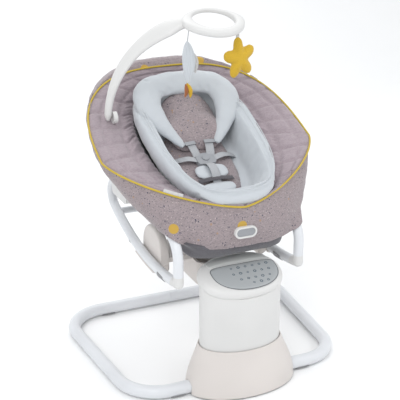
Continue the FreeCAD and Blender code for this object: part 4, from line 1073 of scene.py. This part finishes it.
@dataclass
class Toys:
    """The hanging leaf and star."""

    leaf_top: Vector = field(default_factory=lambda: Vector((-0.057, -0.042, 0.812)))
    star_middle: Vector = field(default_factory=lambda: Vector((0.078, -0.042, 0.760)))
    star_reach: float = 0.050

    def leaf(self, name: str, top: Vector, length: float, half: float, lean: float, finish: Any) -> Any:
        """A padded leaf with pleats running down it."""
        rows, sides = 40, 36
        vertices = []
        for row in range(rows):
            share = row / (rows - 1)
            wide = half * max(0.03, math.sin(math.pi * share ** 0.85)) ** 0.75
            for side in range(sides):
                angle = math.tau * side / sides
                x = wide * math.cos(angle)
                pleat = 1 + 0.28 * math.cos(x / half * 13)
                y = 0.0048 * math.sin(angle) * pleat * math.sin(math.pi * max(0.03, share)) ** 0.4
                place = Vector((x + 0.006 * math.sin(2.4 * share), y, -length * share))
                vertices.append(top + Matrix.Rotation(lean, 3, "Y") @ place)
        return subdivide(make_object(name, vertices, grid_faces(rows, sides, True, capped=True), [finish]))

    def string(self, name: str, start: Vector, end: Vector, half: tuple[float, float], finish: Any) -> Any:
        """A short hanging loop."""
        path = [start.lerp(end, index / 8) for index in range(9)]
        return swept(name, path, lambda share: half, finish, sides=10, side_hint=Vector((1, 0, 0)))

    def build(self, finishes: "Finishes") -> list[Any]:
        """Make the leaf with its tassel, and the star."""
        start = self.leaf_top
        made = [self.leaf("leaf_blade", start, 0.104, 0.0165, 0.03, finishes.knit),
                self.leaf("leaf_blade_small", start + Vector((0.014, 0.010, -0.026)), 0.056, 0.010, -0.12,
                          finishes.pale_print),
                self.string("leaf_string", start + Vector((0.006, 0.002, 0.030)),
                            start + Vector((0, 0, -0.004)),
                            (0.0011, 0.0011), finishes.webbing),
                self.leaf("leaf_tassel", start + Vector((-0.002, -0.002, -0.099)), 0.038, 0.0065, -0.12,
                          finishes.felt),
                self.leaf("leaf_tassel_brown", start + Vector((-0.006, -0.004, -0.100)), 0.033, 0.005, 0.20,
                          finishes.rust)]
        for piece in made:
            placed(piece, "leaf", "light_cloth")
        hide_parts("leaf_toy")
        star = self.star(finishes)
        ribbon = self.string("star_ribbon", self.star_middle + Vector((-0.004, 0, 0.078)),
                             self.star_middle + Vector((-0.006, 0, 0.044)), (0.0045, 0.0010),
                             finishes.pale_print)
        placed(ribbon, "star", "strap_web")
        return [*made, star, ribbon]

    def star(self, finishes: "Finishes") -> Any:
        """A puffed five-pointed star."""
        outline = []
        around, lean = 100, 0.16
        for index in range(around):
            angle = math.pi / 2 + lean + math.tau * index / around
            point = abs(math.cos(2.5 * (angle - math.pi / 2 - lean))) ** 1.4
            radius = self.star_reach * (0.56 + 0.40 * point)
            outline.append((radius * math.cos(angle) * 0.94, radius * math.sin(angle) * 1.14))
        vertices = []
        levels = ((0.35, 0.0085), (0.7, 0.0070), (0.93, 0.0042), (1.0, 0.0), (0.93, -0.0042), (0.7, -0.0070),
                  (0.35, -0.0085))
        for share, deep in levels:
            for x, z in outline:
                vertices.append(self.star_middle + Vector((x * share, -deep, z * share)))
        star = make_object("star_body", vertices, grid_faces(len(levels), around, True, capped=True),
                           [finishes.felt])
        puffed(star, 0.003, 0.005)
        placed(star, "star", "mustard_cloth", "star_toy")
        return star


@dataclass
class Dock:
    """Smooth wing of the carriage, with the thin saddle that a runner rests in."""

    side: int
    label: str
    inner: float = 0.1225
    front: float = -0.078
    back: float = 0.044
    top: float = 0.3520
    tube_x: float = 0.157
    clear: float = 0.0127
    wall: float = 0.0035

    @staticmethod
    def tube_height(y: float) -> float:
        """Height of the runner's centre at a place along the swing."""
        return 0.270 + 0.760 - math.sqrt(0.760 ** 2 - (y + 0.062) ** 2)

    def section(self, y: float) -> list[Vector]:
        """Closed outline across the dock at one place along it."""
        middle, half = (self.front + self.back) / 2, (self.back - self.front) / 2
        share = min(1.0, abs(y - middle) / half)
        centre = self.tube_height(y)
        crest = centre + 0.008 + (self.top - centre - 0.008) * (1 - share ** 2.6) ** (1 / 2.6)
        outer = self.tube_x - self.clear
        round_off = (outer - self.inner) / 2
        outline = [(self.inner, centre - 0.012)]
        for step in range(9):
            turn = math.pi * (1 - step / 8)
            outline.append((self.inner + round_off * (1 + math.cos(turn)),
                            crest - round_off * 0.6 * (1 - math.sin(turn))))
        for step in range(13):
            turn = math.pi * (1 + 0.72 * step / 12)
            outline.append((self.tube_x + self.clear * math.cos(turn), centre + self.clear * math.sin(turn)))
        for step in range(13):
            turn = math.pi * (1.72 - 0.52 * step / 12)
            reach = self.clear + self.wall
            outline.append((self.tube_x + reach * math.cos(turn), centre + reach * math.sin(turn)))
        outline.append((self.inner + 0.004, centre - 0.019))
        return [Vector((self.side * x, y, z)) for x, z in outline]

    def build(self, finishes: "Finishes") -> list[Any]:
        """Make the wing."""
        rows = 41
        length = self.back - self.front
        turns = [math.pi * row / (rows - 1) for row in range(rows)]
        sections = [self.section(self.front + length * (1 - math.cos(turn)) / 2) for turn in turns]
        sides = len(sections[0])
        vertices = [point for section in sections for point in section]
        wing = make_object(f"{self.label}_wing", vertices, grid_faces(rows, sides, True, capped=True),
                           [finishes.warm_casing])
        placed(wing, "carriage", "warm_plastic", f"{self.label}_dock")
        return [wing]


@dataclass
class TowerTop:
    """Domed cap of the tower with its hooded panel and icons."""

    middle: Vector = field(default_factory=lambda: Vector((0.0, -0.226, 0.287)))
    slant: float = math.radians(18.5)
    half_x: float = 0.1045
    half_v: float = 0.0700
    panel_shift: float = 0.009
    panel_half: float = 0.082
    panel_front: float = -0.060
    panel_rear: float = 0.024
    icon_pitch: float = 0.0185
    icon_rise: float = 0.0089
    icon_rows: tuple[tuple[float, int, float], ...] = ((0.012, 6, -0.030), (-0.008, 6, -0.034),
                                                       (-0.028, 5, -0.024), (-0.044, 3, 0.0))

    def place(self, x: float, along: float, up: float) -> Vector:
        """A point across, up the slope and above the slanted plane."""
        y = along * math.cos(self.slant) - up * math.sin(self.slant)
        z = along * math.sin(self.slant) + up * math.cos(self.slant)
        return self.middle + Vector((x, y, z))

    def oval(self, angle: float, inset: float) -> tuple[float, float]:
        """Outline of the cap, drawn in by a distance."""
        power = 2.25
        c, s = math.cos(angle), math.sin(angle)
        x = (self.half_x - inset) * math.copysign(abs(c) ** (2 / power), c)
        v = (self.half_v - inset) * math.copysign(abs(s) ** (2 / power), s)
        return x, v

    def shield(self, angle: float, inset: float) -> tuple[float, float]:
        """The panel's D-shape, drawn in by a distance."""
        c, s = math.cos(angle), math.sin(angle)
        reach = -self.panel_front if s < 0 else self.panel_rear
        power = 2.2 if s < 0 else 5.0
        x = self.panel_shift + (self.panel_half - inset) * math.copysign(abs(c) ** (2 / power), c)
        return x, (reach - inset) * math.copysign(abs(s) ** (2 / power), s)

    @staticmethod
    def rings(name: str, loops: Sequence[Callable[[float], Vector]], finish: Any, around: int = 180) -> Any:
        """A skin over closed loops, filled at both ends."""
        vertices = [loop(math.tau * column / around) for loop in loops for column in range(around)]
        return make_object(name, vertices, grid_faces(len(loops), around, True, capped=True), [finish])

    def build(self, finishes: "Finishes") -> list[Any]:
        """Make the cap, hood, panel and icons."""
        steps = ((0.0, -0.0150), (-0.0012, -0.0125), (-0.0016, -0.008), (-0.0008, -0.003), (0.0022, 0.0015),
                 (0.0070, 0.0045), (0.0130, 0.0062), (0.0210, 0.0070), (0.0400, 0.0072))
        loops = [self.loop_of(self.oval, inset, up) for inset, up in steps]
        cap = self.rings("tower_lid", loops, finishes.casing)
        placed(cap, "base", "white_plastic", "tower_cap")
        steps = ((-0.0008, 0.0060), (-0.0008, 0.0078), (0.0008, 0.0086), (0.0050, 0.0087))
        loops = [self.loop_of(self.shield, inset, up) for inset, up in steps]
        panel = self.rings("panel_membrane", loops, finishes.panel)
        placed(panel, "base", "panel_grey", "control_panel")
        groove = [self.place(*self.shield(math.tau * index / 160, -0.0016), 0.0074) for index in range(160)]
        edge = swept("panel_groove", groove, lambda share: (0.0009, 0.0009), finishes.dark_edge, closed=True,
                     sides=8)
        placed(edge, "base", "grey_plastic")
        return [cap, panel, edge, self.hood(finishes), self.icons(finishes)]

    def loop_of(self, shape: Callable[[float, float], tuple[float, float]], inset: float,
                up: float) -> Callable[[float], Vector]:
        """A closed loop at one inset and height."""
        return lambda angle: self.place(*shape(angle, inset), up)

    def hood(self, finishes: "Finishes") -> Any:
        """The grey crescent behind the panel."""
        rows, columns = 5, 60
        vertices = []
        for row in range(rows):
            share = row / (rows - 1)
            for column in range(columns):
                across = -1 + 2 * column / (columns - 1)
                x = self.panel_shift * (1 - share) + across * (self.panel_half - 0.004)
                front = self.panel_rear + 0.004
                crown = math.sqrt(max(0.0, 1 - abs(x / (self.half_x - 0.004)) ** 2.25))
                rear = max(front + 0.0005, (self.half_v - 0.005) * crown)
                along = front + (rear - front) * share
                rise = 0.0078 + 0.0040 * math.sin(math.pi * share) * (1 - across ** 4)
                vertices.append(self.place(x, along, rise))
        hood = make_object("panel_hood", vertices, grid_faces(rows, columns, False), [finishes.hood])
        thickened(hood, 0.002)
        return placed(hood, "base", "panel_grey")

    def icons(self, finishes: "Finishes") -> Any:
        """Small plain marks on the panel, in rows."""
        vertices: list[Vector] = []
        faces: list[Sequence[int]] = []
        for row, (along, count, start) in enumerate(self.icon_rows):
            for index in range(count):
                x = self.panel_shift + start + index * self.icon_pitch + 0.002 * row
                sides = 4 if (row + index) % 3 == 0 else 12
                outer = 0.0042 if index % 2 else 0.0034
                base = len(vertices)
                for radius in (outer, outer * 0.50):
                    for side in range(sides):
                        angle = math.tau * side / sides + 0.4
                        vertices.append(self.place(x + radius * math.cos(angle),
                                                   along + radius * math.sin(angle), self.icon_rise))
                for side in range(sides):
                    after = (side + 1) % sides
                    faces.append((base + side, base + after, base + sides + after, base + sides + side))
        marks = make_object("panel_icons", vertices, faces, [finishes.mark])
        thickened(marks, 0.0003)
        return placed(marks, "base", "black_plastic")


class Finishes:
    """Every finish of the swing, made once."""

    flecks: tuple[Speckle, ...] = (
        Speckle((0.060, 0.058, 0.095), 150.0, 0.26, 0.13),
        Speckle((0.15, 0.13, 0.155), 300.0, 0.34, 0.26),
        Speckle((0.48, 0.41, 0.40), 260.0, 0.30, 0.14),
        Speckle((0.36, 0.24, 0.17), 75.0, 0.20, 0.12),
    )

    def __init__(self) -> None:
        """Create the materials."""
        self.tube = PaintedTube().material("white_tube")
        self.casing = MouldedPlastic().material("white_plastic")
        self.warm_casing = MouldedPlastic((0.68, 0.635, 0.605), 0.40).material("warm_plastic")
        self.quilted = WovenCloth((0.400, 0.332, 0.358), (0.275, 0.225, 0.250)).material("taupe_cloth")
        self.printed = WovenCloth((0.375, 0.315, 0.322), (0.235, 0.195, 0.205), flecks=self.flecks,
                                  dots=self.dots()).material("speckled_cloth")
        self.liner = WovenCloth((0.10, 0.095, 0.105), (0.06, 0.055, 0.065)).material("liner_cloth")
        self.dark = WovenCloth((0.135, 0.13, 0.145), (0.085, 0.08, 0.09)).material("dark_cloth")
        self.knit = KnitCloth().material("light_cloth")
        self.webbing = Webbing().material("strap_web")
        self.piping = FeltCloth((0.58, 0.42, 0.05)).material("piping_cloth")
        self.felt = FeltCloth().material("mustard_cloth")
        self.steel = PlainMetal().material("bright_steel")
        self.bronze = PlainMetal((0.52, 0.36, 0.18), 0.45).material("bronze")
        self.rubber = SoftRubber().material("rubber_grey")
        self.black = MouldedPlastic((0.03, 0.03, 0.034), 0.5).material("black_plastic")
        self.grey = MouldedPlastic((0.30, 0.31, 0.33), 0.45).material("grey_plastic")
        self.panel = MouldedPlastic((0.40, 0.42, 0.43), 0.35, 2200.0).material("panel_grey")
        self.board = MouldedPlastic((0.03, 0.14, 0.06), 0.5).material("board_green")
        self.pale_print = WovenCloth((0.62, 0.61, 0.60), (0.50, 0.49, 0.48)).material("pale_cloth")
        self.rust = FeltCloth((0.36, 0.13, 0.05)).material("rust_cloth")
        self.hood = MouldedPlastic((0.52, 0.53, 0.52), 0.32).material("hood_plastic")
        self.mark = MouldedPlastic((0.10, 0.14, 0.17), 0.4).material("panel_marks")
        self.dark_edge = MouldedPlastic((0.16, 0.17, 0.18), 0.5).material("edge_plastic")

    @staticmethod
    def dots() -> tuple[Knot, ...]:
        """Centres of the large printed dots on the skirt and the head band."""
        places = ((233.5, 9.5), (268.0, 8.8), (97.0, 5.9), (76.0, 6.5))
        rails = SeatCover().rails
        found = []
        for turn, span in places:
            column = [rail.point(math.radians(turn)) for rail in rails]
            found.append(tuple(spline_point(column, span / (len(rails) - 1))))
        return tuple(found)


@dataclass
class Studio:
    """Floor, light and camera."""

    eye: Vector = field(default_factory=lambda: Vector((-0.9474, -2.1610, 1.2930)))
    target: Vector = field(default_factory=lambda: Vector((-0.0061, 0.0, 0.3953)))
    lens: float = 90.0

    def build(self) -> None:
        """Create the studio."""
        self.make_floor()
        self.make_lights()
        camera = bpy.data.objects.new("camera", bpy.data.cameras.new("camera"))
        camera.data.lens = self.lens
        camera.data.sensor_width = 36.0
        camera.location = self.eye
        camera.rotation_mode = "QUATERNION"
        camera.rotation_quaternion = (self.target - self.eye).to_track_quat("-Z", "Y")
        bpy.context.scene.collection.objects.link(camera)
        bpy.context.scene.camera = camera
        bpy.context.scene.view_settings.view_transform = "Standard"

    def make_floor(self) -> None:
        """A pale floor that turns up into a backdrop."""
        half, far, rise, bend = 6.0, 3.2, 4.5, 1.2
        profile = [(-6.0, 0.0), (far - bend, 0.0)]
        for step in range(1, 9):
            angle = math.pi / 2 * step / 8
            profile.append((far - bend + bend * math.sin(angle), bend - bend * math.cos(angle)))
        profile.append((far, rise))
        vertices = []
        for y, z in profile:
            for x in (-half, half):
                vertices.append(Vector((x, y, z)))
        paint = Paint("floor")
        mottled = paint.noise(3.0, 2.0)
        colour = paint.blend((0.93, 0.93, 0.93), (0.95, 0.95, 0.95), mottled)
        material = paint.fill(colour, 0.85)
        floor = make_object("floor", vertices, grid_faces(len(profile), 2, False), [material])

    def make_lights(self) -> None:
        """Soft boxes and an even sky."""
        world = bpy.data.worlds.new("sky")
        bpy.context.scene.world = world
        world.use_nodes = True
        world.node_tree.nodes["Background"].inputs[0].default_value = (0.96, 0.98, 1.0, 1.0)
        world.node_tree.nodes["Background"].inputs[1].default_value = 0.85
        self.area((-1.6, -1.8, 2.6), 34.0, 1.8)
        self.area((2.0, -1.4, 2.2), 16.0, 1.8)
        self.area((0.2, 1.8, 2.8), 22.0, 2.0)

    def area(self, place: Sequence[float], power: float, size: float) -> None:
        """One square lamp aimed at the seat."""
        lamp = bpy.data.lights.new("lamp", "AREA")
        lamp.energy = power
        lamp.size = size
        holder = bpy.data.objects.new("lamp", lamp)
        holder.location = place
        holder.rotation_mode = "QUATERNION"
        holder.rotation_quaternion = (Vector((0, 0, 0.35)) - Vector(place)).to_track_quat("-Z", "Y")
        bpy.context.scene.collection.objects.link(holder)


def dress_frame(finishes: Finishes) -> None:
    """Give every CAD node its finish."""
    by_slot = {
        "white_tube": finishes.tube, "white_plastic": finishes.casing, "warm_plastic": finishes.warm_casing,
        "panel_grey": finishes.panel, "board_green": finishes.board, "black_plastic": finishes.black,
        "bright_steel": finishes.steel, "bronze": finishes.bronze, "rubber_grey": finishes.rubber,
        "taupe_cloth": finishes.quilted, "dark_cloth": finishes.dark, "light_cloth": finishes.knit,
        "speckled_cloth": finishes.printed, "strap_web": finishes.webbing, "grey_plastic": finishes.grey,
        "mustard_cloth": finishes.felt,
    }
    for part in frame["record"]["subparts"]:
        node = frame["nodes"][part["node"]]
        for slot in node.material_slots:
            slot.material = by_slot[part["material_slot"]]


def main() -> None:
    """Build the studio, then every sub-assembly in order."""
    logging.basicConfig(level=logging.INFO, format="%(name)s: %(message)s")
    Studio().build()
    finishes = Finishes()
    dress_frame(finishes)
    cover = SeatCover()
    pieces = [cover.build(finishes), cover.build_piping(finishes), cover.build_label(finishes)]
    docks = (Dock(-1, "left"), Dock(1, "right"))
    for assembly in (SeatLiner(), HeadPillow(), Harness(), ToyBar(), Toys(), *docks, TowerTop()):
        pieces.extend(assembly.build(finishes))
    for piece in pieces:
        log.info("made %s", piece.name)


if __name__ == "__main__":
    main()
